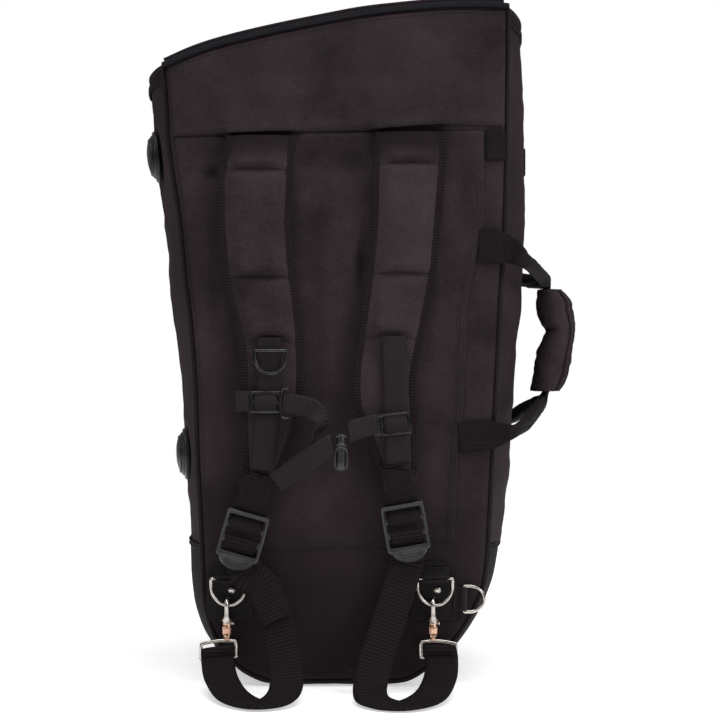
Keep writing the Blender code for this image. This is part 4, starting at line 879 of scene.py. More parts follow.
# ---------------------------------------------------------------- piping round both panels
def piping(tag, y_of, face):
    line = np.array([[x, z] for x, z, _ in EDGE])
    tan = unit(np.gradient(line, axis=0))
    out = np.stack([tan[:, 1], -tan[:, 0]], 1)
    P2 = line + out * 2.6
    P = np.stack([P2[:, 0], y_of(P2[:, 1]), P2[:, 1]], 1)
    P = smooth_line(P, 700)
    P[:, 2] = np.maximum(P[:, 2], 3.2)
    L = arc_len(P)
    r = 3.0 + 0.12 * np.sin(L / 9.0) + 0.10 * np.sin(L / 3.7)
    tube(f"piping_{tag}_cord", P, r, BINDING, "root", f"piping_{tag}", "edge_binding", sides=14)
    F2 = line + out * 0.2
    F = np.stack([F2[:, 0], y_of(F2[:, 1]) + face * 5.2, F2[:, 1]], 1)
    F = smooth_line(F, 520)
    F[:, 2] = np.maximum(F[:, 2], 2.0)
    return P, F


piping("back", lambda z: np.full(np.shape(z), BACK_Y + 7.0), -1)
piping("front", lambda z: front_y(z) - 7.0, 1)

# ---------------------------------------------------------------- the sewn-on layers of the strap side
SEAM = smooth_line([(-181.5, 606), (-120, 608.5), (-40, 611), (28, 612), (46, 613), (119, 619.5), (186, 618)], 160)


def seam_z(x):
    return np.interp(x, SEAM[:, 0], SEAM[:, 1])


def layer(name, left, right, bottom, top, ns, nt, off, thick, mats, node=None, slot="nylon_shell", hem=(), hem_t=0.9, lift=None,
          body="root"):
    """A skin of cloth lying on the back panel; hem lists the sides with a folded edge: l, r, b, t."""
    pick = lambda line, n: smooth_line(line, n)
    G = coons(pick(left, nt), pick(right, nt), pick(bottom, ns), pick(top, ns), ns, nt)
    s, t = np.linspace(0, 1, ns)[None], np.linspace(0, 1, nt)[:, None]
    w = np.linalg.norm(G[nt // 2, -1] - G[nt // 2, 0])
    h = np.linalg.norm(G[-1, ns // 2] - G[0, ns // 2])
    fold = np.zeros((nt, ns))
    for side in hem:
        d = {"l": s * w, "r": (1 - s) * w, "b": t * h, "t": (1 - t) * h}[side] + np.zeros((nt, ns))
        fold = np.maximum(fold, 1 - step(d, 9.0, 11.5))
        edge = np.sqrt(np.clip(1 - (1 - np.clip(d / 1.6, 0, 1)) ** 2, 0, 1))
        fold = fold * 1.0
        thick_k = edge
        fold = fold * thick_k + (thick_k - 1) * 0.9
    extra = lift(G[..., 0], G[..., 1]) if lift else 0.0
    y_in = back_pt(G[..., 0], G[..., 1], off)[..., 1] - extra
    y_out = y_in - thick - hem_t * fold
    A = np.stack([G[..., 0], y_out, G[..., 1]], -1)
    B = np.stack([G[..., 0], y_in, G[..., 1]], -1)
    return shell(name, A, B, mats, body, node, slot), A


sl_left = [(xl(z) + 4.5, z) for z in (152, 220, 300, 380, 460, 540, 604)]
sl_right = [(131, 160), (133.5, 205), (136, 259), (141, 304), (144, 375), (147, 426), (154, 462), (163, 501), (164, 560), (164, 612)]
sleeve, SLEEVE_A = layer("strap_sleeve_cloth", sl_left, sl_right, [(-139.5, 152), (-65, 151), (30, 154), (131, 160)],
                         [(xl(604) + 4.5, 604), (-40, 608), (60, 611), (164, 612)], 110, 150, 0.5, 1.1, [NYLON], "strap_sleeve_panel",
                         hem=("r", "b"))


def pad_lift(x, z):
    """The yoke's lower edge rises over the two strap ends tucked under it."""
    d = np.maximum(z - seam_z(x), 0)
    over = (step(x, -132, -114) * (1 - step(x, -50, -34)) + step(x, 30, 48) * (1 - step(x, 116, 132)))
    return (0.9 + 10.0 * over) * np.exp(-d / 17.0)


yoke, YOKE_A = layer("back_yoke", [(xl(z) + 2.5 + 0.02 * (682 - z), z) for z in (606, 630, 655, 680.6)], [(186.4, 617), (187, 660), (187.4, 700), (187.4, 743.5)],
                     [(xl(606) + 4.5, 606), (-120, 608.5), (-40, 611), (28, 612), (46, 613), (119, 618), (186.4, 617)],
                     [(xl(679) + 2.5, 680.6), (-134, 700), (-60, 718), (28, 735), (116, 744), (187.4, 743.5)], 120, 54, 0.5, 1.2, [NYLON],
                     hem=("b",), lift=pad_lift)


def on_back(points, off, n=None, lift=None):
    line = smooth_line(points, n or 160)
    P = back_pt(line[:, 0], line[:, 1], off)
    if lift:
        P[:, 1] -= lift(line[:, 0], line[:, 1])
    return P


OUT_BACK = np.array([0, -1.0, 0])
rows = [(on_back([(x, seam_z(x) + 2.6) for x in np.linspace(-176, 180, 40)], 2.7, 420, pad_lift), OUT_BACK)]
threads("yoke_stitches", rows, THREAD_DARK, "root", pitch=3.8, length=2.7, r=0.36)
rows = []
for q in (3.0, 7.6):
    rows.append((on_back([(x - q, z) for x, z in sl_right[:-1]], 2.6, 320), OUT_BACK))
    rows.append((on_back([(x, z + q) for x, z in ((-136, 152), (-65, 151), (30, 154), (128, 160))], 2.6, 320), OUT_BACK))
threads("back_panel_stitches", rows, THREAD, "root", pitch=3.8, length=2.7, r=0.36)
rows = [(on_back([(x, top_z(x) - q) for x in np.linspace(-176, 178, 40)], 1.9, 400), OUT_BACK) for q in (6.0,)]
threads("back_top_stitches", rows, THREAD_DARK, "root", pitch=3.8, length=2.7, r=0.34)


# ---------------------------------------------------------------- lid
def mouth_x(end, y, z):
    x, b = (LEFT[0][0], LEFT[0][2]) if end < 0 else (RIGHT[-1][0], RIGHT[-1][2])
    y0, y1 = BACK_Y + PANEL_T + GAP, front_y(z) - PANEL_T - GAP
    return x + end * b * fullness((y - y0) / (y1 - y0))


def lid_grid(ns=90, nv=56):
    s = np.linspace(0, 1, ns)
    v = np.linspace(0, 1, nv)
    v = v - 0.05 * np.sin(2 * np.pi * v)
    line = smooth_line(TOP[::-1], ns, dims=2)
    X, Z = np.broadcast_to(line[:, 0], (nv, ns)), np.broadcast_to(line[:, 1], (nv, ns))
    Y = BACK_Y + v[:, None] * (front_y(Z) - BACK_Y)
    share = (X - TOP[-1][0]) / (TOP[0][0] - TOP[-1][0])
    a, b = mouth_x(-1, Y, TOP[-1][1]), mouth_x(1, Y, TOP[0][1])
    return a + share * (b - a), Y, Z, v, share


LX, LY, LZ, LV, LS = lid_grid()
P3 = np.stack([LX, LY, LZ], -1)
dome = np.sin(np.pi * LV)[:, None] ** 0.55 * np.sin(np.pi * np.clip(LS, 0, 1)) ** 0.45
folds = wobble(P3, 90, 2.0, 41) + wobble(P3, 36, 0.8, 42)
top_out = np.stack([LX, LY, LZ + LID_EDGE - 6.2 + dome * (LID_CROWN - 3.0 + folds)], -1)
low_in = np.stack([LX + (0 - LX) * 0.012, LY * 1.0, LZ + 1.2 + dome * 2.0], -1)
lid = shell("lid_panel_padded", top_out, low_in, [NYLON_TOP, LINING, LID_BAND], "lid", "lid_panel", "nylon_shell")

# band of twill tape round the lid's edge; the run along the strap side is a band of its own along the hinge, not
# attached to the lid
edge_l = np.stack([LX[:, 0], LY[:, 0], LZ[:, 0]], 1)
edge_f = np.stack([LX[-1], LY[-1], LZ[-1]], 1)
edge_r = np.stack([LX[:, -1], LY[:, -1], LZ[:, -1]], 1)
around = np.concatenate([edge_l[3:], edge_f[1:-1], edge_r[:2:-1]])
around = smooth_line(around, 620)
T = unit(np.gradient(around, axis=0))
Nn = unit(np.cross(T, (0, 0, 1.0)))
mid = np.array([0, 40, 0])
Nn = np.where(np.sum(Nn * (around - mid), 1, keepdims=True) < 0, -Nn, Nn)
Wd = np.cross(Nn, T)
Wd = np.where(Wd[:, 2:3] < 0, -Wd, Wd)
rings, uv, _ = strip_rings(around + Nn * 1.2 + np.array([0, 0, 2.7]), Wd, 7.0, 2.2, rib=0.0)
sweep("lid_edge_band", rings, EDGE_BAND, "lid", slot="edge_binding", uv=uv)
threads("lid_edge_stitches", [(around + Nn * 2.5 + np.array([0, 0, 4.8]), Nn)], THREAD_DARK, "lid", pitch=3.8, length=2.7, r=0.34)

back_line = smooth_line([(x, z) for x, z in TOP[::-1]], 360)
band_pts = [tuple(edge_l[5] + np.array([-1.0, 0, 3.4])), tuple(edge_l[2] + np.array([-2.4, -2.6, 3.4]))]
band_pts += [(x, BACK_Y - (4.4 if i in (0, len(TOP) - 1) else 2.4), z + 3.2) for i, (x, z) in enumerate(TOP[::-1])]
band_pts += [tuple(edge_r[2] + np.array([2.4, -2.6, 3.4])), tuple(edge_r[5] + np.array([1.0, 0, 3.4]))]
Cb = smooth_line(band_pts, 420, dims=3)
Tb = unit(np.gradient(Cb, axis=0))
Wb = unit(np.cross(Tb, np.cross(np.array([0, 0, 1.0]), Tb)))
Wb = np.where(Wb[:, 2:3] < 0, -Wb, Wb)
rings, uv, _ = strip_rings(Cb, Wb, 5.6, 2.4, rib=0.0, ncross=11, cup=-0.0)
band = sweep("lid_hinge_band", rings, LID_BAND, None, slot="edge_binding", uv=uv)
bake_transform(band)
Ci = np.stack([back_line[:, 0] * 0.985, np.full(360, BACK_Y + 1.0), back_line[:, 1] - 1.0], 1)
rings, uv, _ = strip_rings(Ci, np.broadcast_to([0, 0, 1.0], Ci.shape), 24.0, 1.4, rib=0.0, ncross=17)
hinge_cloth = sweep("lid_hinge_cloth", rings, ZIP, None, slot="zip_tape", uv=uv)
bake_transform(hinge_cloth)

# zip round the mouth
ZIP_DROP, ZIP_OUT = 8.0, 1.9
zp = []
for v in (0.004, 0.08, 0.2, 0.35, 0.5, 0.65, 0.8, 0.92):
    y = BACK_Y + PANEL_T + v * (front_y(TOP[-1][1]) - 2 * PANEL_T - BACK_Y)
    zp.append((mouth_x(-1, y, TOP[-1][1]) - ZIP_OUT, y, TOP[-1][1] - ZIP_DROP))
for x, z in TOP[::-1]:
    corner = 3.0 if x == TOP[0][0] else -3.0 if x == TOP[-1][0] else 0.0
    zp.append((x + corner, float(front_y(z)) + ZIP_OUT, z - ZIP_DROP))
for v in (0.92, 0.8, 0.65, 0.5, 0.35, 0.2, 0.08, 0.004):
    y = BACK_Y + PANEL_T + v * (front_y(TOP[0][1]) - 2 * PANEL_T - BACK_Y)
    zp.append((mouth_x(1, y, TOP[0][1]) + ZIP_OUT, y, TOP[0][1] - ZIP_DROP))
ZP = smooth_line(zp, 900)


def zip_run(tag, P, N, W, width, node, body="root", pitch=2.2):
    rings, uv, _ = strip_rings(P, W, width, 1.0, rib=0.0, ncross=9)
    tape = sweep(f"{tag}_tape_cloth", rings, ZIP, body, node, "zip_tape", uv=uv)
    L = arc_len(P)
    V, F = [], []
    k = int(L[-1] // pitch)
    for i in range(k):
        a = (i + 0.5) * pitch
        c = np.array([np.interp(a, L, P[:, j]) for j in range(3)])
        n_ = unit(np.array([np.interp(a, L, N[:, j]) for j in range(3)]))
        w_ = unit(np.array([np.interp(a, L, W[:, j]) for j in range(3)]))
        t_ = unit(np.cross(w_, n_))
        for sgn in (-1, 1):
            cc = c + n_ * 0.9 + w_ * sgn * 1.15 + t_ * (pitch / 4 * sgn)
            base = len(V)
            for (u_, v_, h_) in ((-1.3, -0.5, -0.5), (1.3, -0.5, -0.5), (1.3, 0.5, -0.5), (-1.3, 0.5, -0.5),
                                 (-1.0, -0.34, 0.55), (1.0, -0.34, 0.55), (1.0, 0.34, 0.55), (-1.0, 0.34, 0.55)):
                V.append(cc + w_ * u_ + t_ * v_ + n_ * h_)
            F += [(base, base + 3, base + 2, base + 1), (base + 4, base + 5, base + 6, base + 7), (base, base + 1, base + 5, base + 4),
                  (base + 1, base + 2, base + 6, base + 5), (base + 2, base + 3, base + 7, base + 6), (base + 3, base, base + 4, base + 7)]
    put(f"{tag}_coil", np.array(V), F, COIL, body, None, "zip_tape", angle=30, fix=False)
    return tape


T = unit(np.gradient(ZP, axis=0))
ZN = unit(np.cross(T, (0, 0, 1.0)))
ZN = np.where(np.sum(ZN * (ZP - mid), 1, keepdims=True) < 0, -ZN, ZN)
ZW = np.cross(ZN, T)
ZW = np.where(ZW[:, 2:3] < 0, -ZW, ZW)
zip_run("lid_zip", ZP, ZN, ZW, 12.0, "lid_zip_tape")
threads("lid_zip_stitches", [(ZP + ZN * 0.9 + ZW * -4.6, ZN)], THREAD_DARK, "root", pitch=3.4, length=2.4, r=0.32)


def pull_tab(tag, x, y, z, body, node):
    shape = ([(-3.4, -0.8), (-2.7, 0.9), (-1.3, 1.6), (1.3, 1.6), (2.7, 0.9), (3.4, -0.8), (5.3, -20)] + arc(2.9, -31, 3.0, 0, -90, 4)
             + arc(-2.9, -31, 3.0, -90, -180, 4) + [(-5.3, -20)])
    hole = round_rect(4.6, 9.0, 1.8, 0, -26)
    plate(f"{tag}_tab", [shape, hole], 1.8, (x, y, z), (1, 0, 0), (0, 0, 1), GUN, body, node, bevel=0.45)


def slider_body(tag, x, y, z, slope, body, node):
    X = np.array([math.cos(slope), 0, math.sin(slope)])
    Zd = np.array([-math.sin(slope), 0, math.cos(slope)])
    shape = round_rect(11, 9, 2.4)
    plate(f"{tag}_body", [shape], 3.4, (x, y + 0.4, z), X, Zd, GUN, body, node, bevel=0.9)
    bridge = [np.array([x, y, z]) + Zd * 3.2 + np.array([0, 1.6, 0]), np.array([x, y, z]) + Zd * 2.6 + np.array([0, 2.9, 0]),
              np.array([x, y, z]) + np.array([0, 3.3, 0]), np.array([x, y, z]) - Zd * 2.6 + np.array([0, 2.9, 0]),
              np.array([x, y, z]) - Zd * 3.2 + np.array([0, 1.6, 0])]
    tube(f"{tag}_bridge", smooth_line(bridge, 20), 0.8, GUN, body, slot="dark_metal", sides=8)


for tag, x, slope in (("left", -9, math.atan(0.2)), ("right", 9, math.atan(0.12))):
    z = float(np.interp(x, [p[0] for p in TOP[::-1]], [p[1] for p in TOP[::-1]])) - 5
    y = float(front_y(z)) + ZIP_OUT + 0.6 + 4.2
    slider_body(f"lid_slider_{tag}", x, y, z, slope, f"lid_slider_{tag}", f"lid_zip_slider_{tag}")
    pull_tab(f"lid_pull_{tag}", x, y + 2.5 + 1.4, z + 1, f"lid_pull_{tag}", f"lid_zip_pull_{tag}")

# ---------------------------------------------------------------- front pocket
POCKET_DEPTH = 24.0
POCKET_LINE = [(-112, 130), (-118, 250), (-130, 400), (-142, 520), (-140, 545), (-128, 556), (130, 580), (142, 570),
               (148, 545), (142, 400), (136, 250), (128, 130), (114, 116), (-98, 116)]
pl = [(-114, 140), (-118, 250), (-130, 400), (-141, 520)]
pr = [(129, 140), (136, 250), (142, 400), (147, 545)]
NPX, NPZ = 90, 120
G = coons(smooth_line([(-106, 121)] + pl + [(-139, 549)], NPZ), smooth_line([(121, 121)] + pr + [(144, 568)], NPZ),
          smooth_line([(-106, 121), (0, 116.5), (121, 121)], NPX), smooth_line([(-139, 549), (0, 567.5), (144, 568 + 4)], NPX), NPX, NPZ)
gs, gt = np.linspace(0, 1, NPX)[None], np.linspace(0, 1, NPZ)[:, None]
wide, high = 260.0, 445.0
dd = np.minimum(np.minimum(gs * wide, (1 - gs) * wide), np.minimum(gt * high, (1 - gt) * high)) + np.zeros((NPZ, NPX))
rise = np.sqrt(np.clip(1 - (1 - np.clip(dd / 9.0, 0, 1)) ** 2, 0, 1))
gx, gz = G[..., 0], G[..., 1]
P3 = np.stack([gx, np.full_like(gx, 500.0), gz], -1)
puff = 2.2 * (np.sin(np.pi * gs) * np.sin(np.pi * gt)) ** 0.6 + wobble(P3, 80, 1.3, 51) + wobble(P3, 30, 0.6, 52)
y_out = front_y(gz) + 1.8 + rise * (POCKET_DEPTH - 1.8 + puff * np.clip(dd / 30, 0, 1))
y_in = front_y(gz) + 1.8 + rise * (POCKET_DEPTH - 4.8)
A = np.stack([gx, y_out, gz], -1)
B = np.stack([gx * (1 - 0.012), y_in + 0.0, gz * (1 - 0.0)], -1)
B[..., 0] = np.where(rise < 0.999, gx + (0 - gx) * 0.02, gx)
shell("front_pocket_cloth", A, B, [NYLON, ZIP, NYLON], "root", "front_pocket", "nylon_shell")
zl = smooth_line([(-118, 534), (2, 545.5), (122, 557)], 300)
PP = np.stack([zl[:, 0], front_y(zl[:, 1]) + POCKET_DEPTH + 1.6, zl[:, 1]], 1)
PN = np.broadcast_to(unit([0, 1, -0.107]), PP.shape)
PW = np.broadcast_to(unit([-0.095, 0.107, 1]), PP.shape)
PP = PP + PN * (0.8 + 2.2 * np.sin(np.pi * np.linspace(0, 1, 300))[:, None] * 0.35)
zip_run("pocket_zip", PP, PN, PW, 14.0, "pocket_zip_tape")
threads("pocket_zip_stitches", [(PP + PN * 0.8 + PW * q, PN) for q in (-5.2, 5.2)], THREAD, "root", pitch=3.6)
rim_line = np.concatenate([G[2:, 0], G[-1, 1:], G[-2:1:-1, -1], G[1, -1:1:-1]])
rim_line = smooth_line(rim_line[::4], 520)
RP = np.stack([rim_line[:, 0], front_y(rim_line[:, 1]) + 3.4, rim_line[:, 1]], 1)
tube("front_pocket_piping", RP, 2.2, BINDING, "root", slot="edge_binding", sides=10)
sx, sz = -104.0, 534 + 14 * math.tan(math.atan2(23, 240))
sy = float(front_y(sz)) + POCKET_DEPTH + 1.4 + 5.8
slider_body("pocket_slider", sx, sy, sz, math.atan2(23, 240), "pocket_slider", "pocket_zip_slider")
pull_tab("pocket_pull", sx, sy + 4.4, sz + 1, "pocket_pull", "pocket_zip_pull")

# ---------------------------------------------------------------- feet
for tag, z, y in (("upper_back", 595, -38), ("upper_front", 595, 112), ("lower_back", 252, -38), ("lower_front", 252, 92)):
    lo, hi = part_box(f"side_foot_{tag}")
    co = np.array([v.co for v in frame["nodes"][f"side_foot_{tag}"].data.vertices]) / MM
    c = co.mean(0)
    w, vec = np.linalg.eigh(np.cov((co - c).T))
    n = vec[:, 0] * (-1 if vec[0, 0] > 0 else 1)
    d = (co - c) @ n
    base_c = co[d < d.min() + 0.6].mean(0)
    FH, FR = 11.0, 29.5
    prof = rounded([(0.05, FH), (9, FH - 0.35), (15.5, FH - 1.6), (21.5, FH - 4.2), (24.6, 4.4), (25.2, 3.1), (26.2, 2.7), (FR - 0.8, 2.3), (FR, 1.4),
                    (FR, 0.0), (0.05, 0.0)], n=4, r=1.2)
    turned(f"foot_{tag}", prof, base_c, n, FOOT, "root", f"side_foot_{tag}", "foot_rubber", steps=64, angle=40)
    turned(f"foot_ring_{tag}", [(20.2, FH - 3.9 + 0.9), (20.9, FH - 3.9 + 1.0), (21.6, FH - 3.9 + 0.2), (21.0, FH - 6.0), (20.0, FH - 5.0)],
           base_c, n, FOOT, "root", slot="foot_rubber", steps=64, angle=60)

# ---------------------------------------------------------------- shoulder pads
PAD_LINES = {
    "left": [
        (606, -118, -43, -137), (575, -124, -46, -137), (551, -127, -47, -137.5), (512, -126, -48, -138.5),
        (470, -123, -46, -140), (439, -119, -42, -141), (406, -110, -38, -143), (362, -102, -35, -146),
        (330, -102, -35, -148), (290, -101, -40, -150), (255, -100, -52, -150.5), (226, -98, -62, -150.5),
    ],
    "right": [
        (610, 45, 122, -137), (580, 43, 121, -137), (560, 42, 119, -137.5), (512, 41, 115, -138.5),
        (466, 37, 111, -140), (440, 34, 107, -141), (395, 28, 98, -143.5), (340, 21, 88, -147),
        (305, 24, 89, -149), (270, 38, 90, -150), (240, 48, 90, -150.5), (228, 52, 88, -150.5),
    ],
}
TACKS = {"left": (567.0, 449.0), "right": (574.0, 453.0)}
ARCH = {"left": (383.8, 375.0), "right": (388.7, 380.6)}
PAD_SHAPE = {}


def pad_piece(side):
    line = smooth_line([(z, a, b, y) for z, a, b, y in PAD_LINES[side]], 190, dims=3)
    z, x0, x1, y = line.T
    nu = 30
    u = np.linspace(0, 1, nu)
    u = u - 0.05 * np.sin(2 * np.pi * u)
    X = x0[:, None] + (x1 - x0)[:, None] * u[None]
    Z = np.repeat(z[:, None], nu, 1)
    w = (x1 - x0)[:, None]
    d_edge = np.minimum(u[None] * w, (1 - u[None]) * w)
    d_low = (z - z[-1])[:, None]
    d_top = (z[0] - z)[:, None]
    plump = step(d_edge, 5.0, 24) ** 0.7 * step(d_low, 2, 20) ** 0.75
    plump = plump * (0.48 + 0.52 * step(d_top, 12, 40))
    for tz in TACKS[side]:
        bow = tz + 2.4 * (1 - 4 * (u[None] - 0.5) ** 2)
        above, below = Z - bow, bow - Z
        cut = np.exp(-(above / 4.0) ** 2) * step(d_edge, 1.5, 6)
        plump = plump * (1 - 0.97 * cut)
        plump = plump * (1 + 0.55 * np.exp(-((above - 8.5) / 6.0) ** 2) + 0.16 * np.exp(-((below - 12) / 8) ** 2))
    arch = ARCH[side]
    bow = arch[1] + (arch[0] - arch[1]) * (1 - (2 * u[None] - 1) ** 2)
    plump = plump * (1 - 0.92 * np.exp(-((Z - bow) / 3.6) ** 2) * step(d_edge, 2, 8))
    plump = plump * (1 + 0.5 * np.exp(-((Z - bow - 9) / 6.5) ** 2))
    thin = 1 - step(Z - bow, -4.0, 2.0)
    plump = plump * (1 - 0.62 * thin)
    P3 = np.stack([X, np.zeros_like(X), Z], -1)
    soft = wobble(P3, 46, 0.9, 60 + len(side)) + wobble(P3, 20, 0.35, 64 + len(side), (1.0, 1, 1.8))
    half = 1.7 + 5.9 * plump + 1.5 * soft * plump
    yc = y[:, None] + 0.0 * X + (1 - step(d_top, 14, 60)) * 3.5
    A = np.stack([X, yc - half, Z], -1)
    B = np.stack([X, yc + (1.7 + 4.2 * plump), Z], -1)
    piece = shell(f"shoulder_pad_{side}_padded", A, B, [NYLON_PAD], f"strap_{side}", f"shoulder_pad_{side}", "nylon_shell")
    PAD_SHAPE[side] = (z, x0, x1, y, A)
    # binding tape folded over the edge, down one side, round the end and up the other
    inset = 3.2
    lft = np.stack([x0 + inset, y + (1 - step(z[0] - z, 14, 60)) * 3.5, z], 1)
    rgt = np.stack([x1 - inset, y + (1 - step(z[0] - z, 14, 60)) * 3.5, z], 1)
    r = 9.0
    end = [(x0[-1] + inset, y[-1], z[-1] + r), (x0[-1] + inset + 1.6, y[-1], z[-1] + 4.4), (x0[-1] + r, y[-1], z[-1] + inset),
           ((x0[-1] + x1[-1]) / 2, y[-1], z[-1] + inset - 0.4), (x1[-1] - r, y[-1], z[-1] + inset), (x1[-1] - inset - 1.6, y[-1], z[-1] + 4.4),
           (x1[-1] - inset, y[-1], z[-1] + r)]
    keep_l = lft[lft[:, 2] > z[-1] + r + 6]
    keep_r = rgt[rgt[:, 2] > z[-1] + r + 6]
    path = smooth_line(np.concatenate([keep_l[::6], np.array(end), keep_r[::-1][::6], keep_r[:1]]), 620)
    T = unit(np.gradient(path, axis=0))
    W = unit(np.cross((0, 1.0, 0), T))
    rings, uv, _ = strip_rings(path, W, 8.6, 4.6, rib=0.0, edge=0.72, ncross=9)
    sweep(f"pad_binding_{side}", rings, PAD_BINDING, f"strap_{side}", slot="edge_binding", uv=uv)
    inner = np.where(np.sum(W * (np.array([np.mean((x0 + x1) / 2), 0, 0]) - path) * np.array([1, 0, 0]), 1, keepdims=True) > 0, W, -W)
    L = arc_len(path)
    zig = path + inner * (1.6 + 1.1 * np.sign(np.sin(L / 1.9)))[:, None] + np.array([0, -2.5, 0])
    dots = path + inner * 2.2 + np.array([0, -2.45, 0])
    threads(f"pad_binding_stitches_{side}", [(dots, OUT_BACK)], THREAD_DARK, f"strap_{side}", pitch=3.4, length=2.0, r=0.5)
    rows = []
    lines = [(tz, 2.4, 0.0) for tz in TACKS[side]] + [(arch[1], arch[0] - arch[1], -1.6)]
    for tz, rise_, q in lines:
        for _ in (0,):
            uu = np.linspace(0.07, 0.93, 40)
            bow = tz + rise_ * (1 - 4 * (uu - 0.5) ** 2) + q
            xx = np.interp(bow, z[::-1], x0[::-1]) + (np.interp(bow, z[::-1], x1[::-1]) - np.interp(bow, z[::-1], x0[::-1])) * uu
            iz = np.searchsorted(-z, -bow)
            yy = np.array([np.interp(uu[k], u, A[min(iz[k], len(z) - 1), :, 1]) for k in range(40)])
            rows.append((np.stack([xx, yy - 0.3, bow], 1), OUT_BACK))
    threads(f"pad_tack_stitches_{side}", rows, THREAD_DARK, f"strap_{side}", pitch=3.2, length=2.4, r=0.4)
    return piece


for side in ("left", "right"):
    pad_piece(side)


def pad_face_y(side, x, z):
    """y of the pad's outer face at a point of it."""
    zz, x0, x1, y, A = PAD_SHAPE[side]
    i = int(np.clip(np.searchsorted(-zz, -z), 0, len(zz) - 1))
    return float(np.interp(x, A[i, :, 0], A[i, :, 1]))


# ---------------------------------------------------------------- webbing on the pads
WEB_LINES = {
    "left": [((-71, -153.6, 384), (1, 0, 0)), ((-71, -154.3, 362), (1, 0, 0)), ((-71, -156.7, 330), (1, 0, 0)),
             ((-74, -158.4, 290), (1, 0, 0.1)), ((-77, -158.9, 262), (1, 0, 0.1)), ((-79, -158.9, 241), (1, 0, 0.1))],
    "right": [((64, -152.8, 386), (1, 0, 0)), ((64, -154.4, 362), (1, 0, 0)), ((64.5, -156.0, 340), (1, 0, 0)),
              ((66, -157.8, 305), (1, 0, 0)), ((67, -158.9, 272), (1, 0, 0)), ((68, -158.9, 247), (1, 0, 0))],
}
for side in ("left", "right"):
    webbing(f"pad_webbing_{side}_woven", WEB_LINES[side], 25.0, 1.5, WEB_FINE, f"strap_{side}", f"pad_webbing_{side}", rib=0.14, pitch=2.4)

LOCK_AT = {"left": ((-93.5, -154.0, 191.0), (0.96, 0, -0.27), (-0.27, 0, -0.96)),
           "right": ((73.0, -154.0, 200.5), (0.985, 0, 0.17), (0.17, 0, -0.985))}


def lock_point(side, u, w, y):
    o, a, d = (np.array(v, float) for v in LOCK_AT[side])
    p = o + unit(a) * u + unit(d) * w
    return (float(p[0]), y, float(p[2]))


TAB_PATH = [(-27, -160.3), (-20, -158.6), (-13, -155.6), (-7, -152.5), (-3, -150.9), (1, -150.8), (5.5, -152.6),
            (9, -156.6), (12, -157.4), (15, -157.4), (17.3, -156.5), (18.3, -154), (17.3, -151.5), (15, -150.8),
            (11, -150.4), (5, -149.3), (0, -149.0), (-4, -149.0), (-10, -150.4), (-18, -154.6)]


def end_tab(side, top):
    a = LOCK_AT[side][1]
    cx, cz = top
    st = [((cx, -160.5, cz), a)] + [(lock_point(side, 0, w, y), a) for w, y in TAB_PATH]
    tab = webbing(f"strap_end_tab_{side}_woven", st, 36.0, 1.6, WEB_TAB, None, f"strap_end_tab_{side}", rib=0.14, pitch=2.2, sample=0.6)
    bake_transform(tab)
    # box of stitches with a cross in it, between the pad's end and the lock
    ax, dn = unit(a), unit(LOCK_AT[side][2])

    def q(u, w):
        p = np.array(lock_point(side, u, w, 0.0))
        t = (w + 46.0) / 26.0
        return np.array([p[0], -161.75 + 0.9 * max(0.0, t - 0.45), p[2]])

    hw, w0, w1 = 15.0, -43.0, -20.5
    box = [q(-hw, w0), q(hw, w0), q(hw, w1), q(-hw, w1), q(-hw, w0)]
    lines = [(np.array([box[i], box[i + 1]]), OUT_BACK) for i in range(4)]
    lines += [(np.array([box[0], box[2]]), OUT_BACK), (np.array([box[1], box[3]]), OUT_BACK)]
    threads(f"box_stitches_{side}", lines, THREAD, f"strap_{side}", pitch=2.9, length=2.3, r=0.46)
    # the raw end of the pad, turned under the tab
    edge = [q(-hw - 2, -46.5), q(0, -45.9), q(hw + 2, -46.5)]
    tube(f"tab_fold_{side}", smooth_line(edge, 30) + np.array([0, 0.6, 0]), 1.0, WEB_TAB, f"strap_{side}", slot="webbing", sides=8)


for side, top in (("left", (-83.0, 236.0)), ("right", (68.5, 242.0))):
    end_tab(side, top)


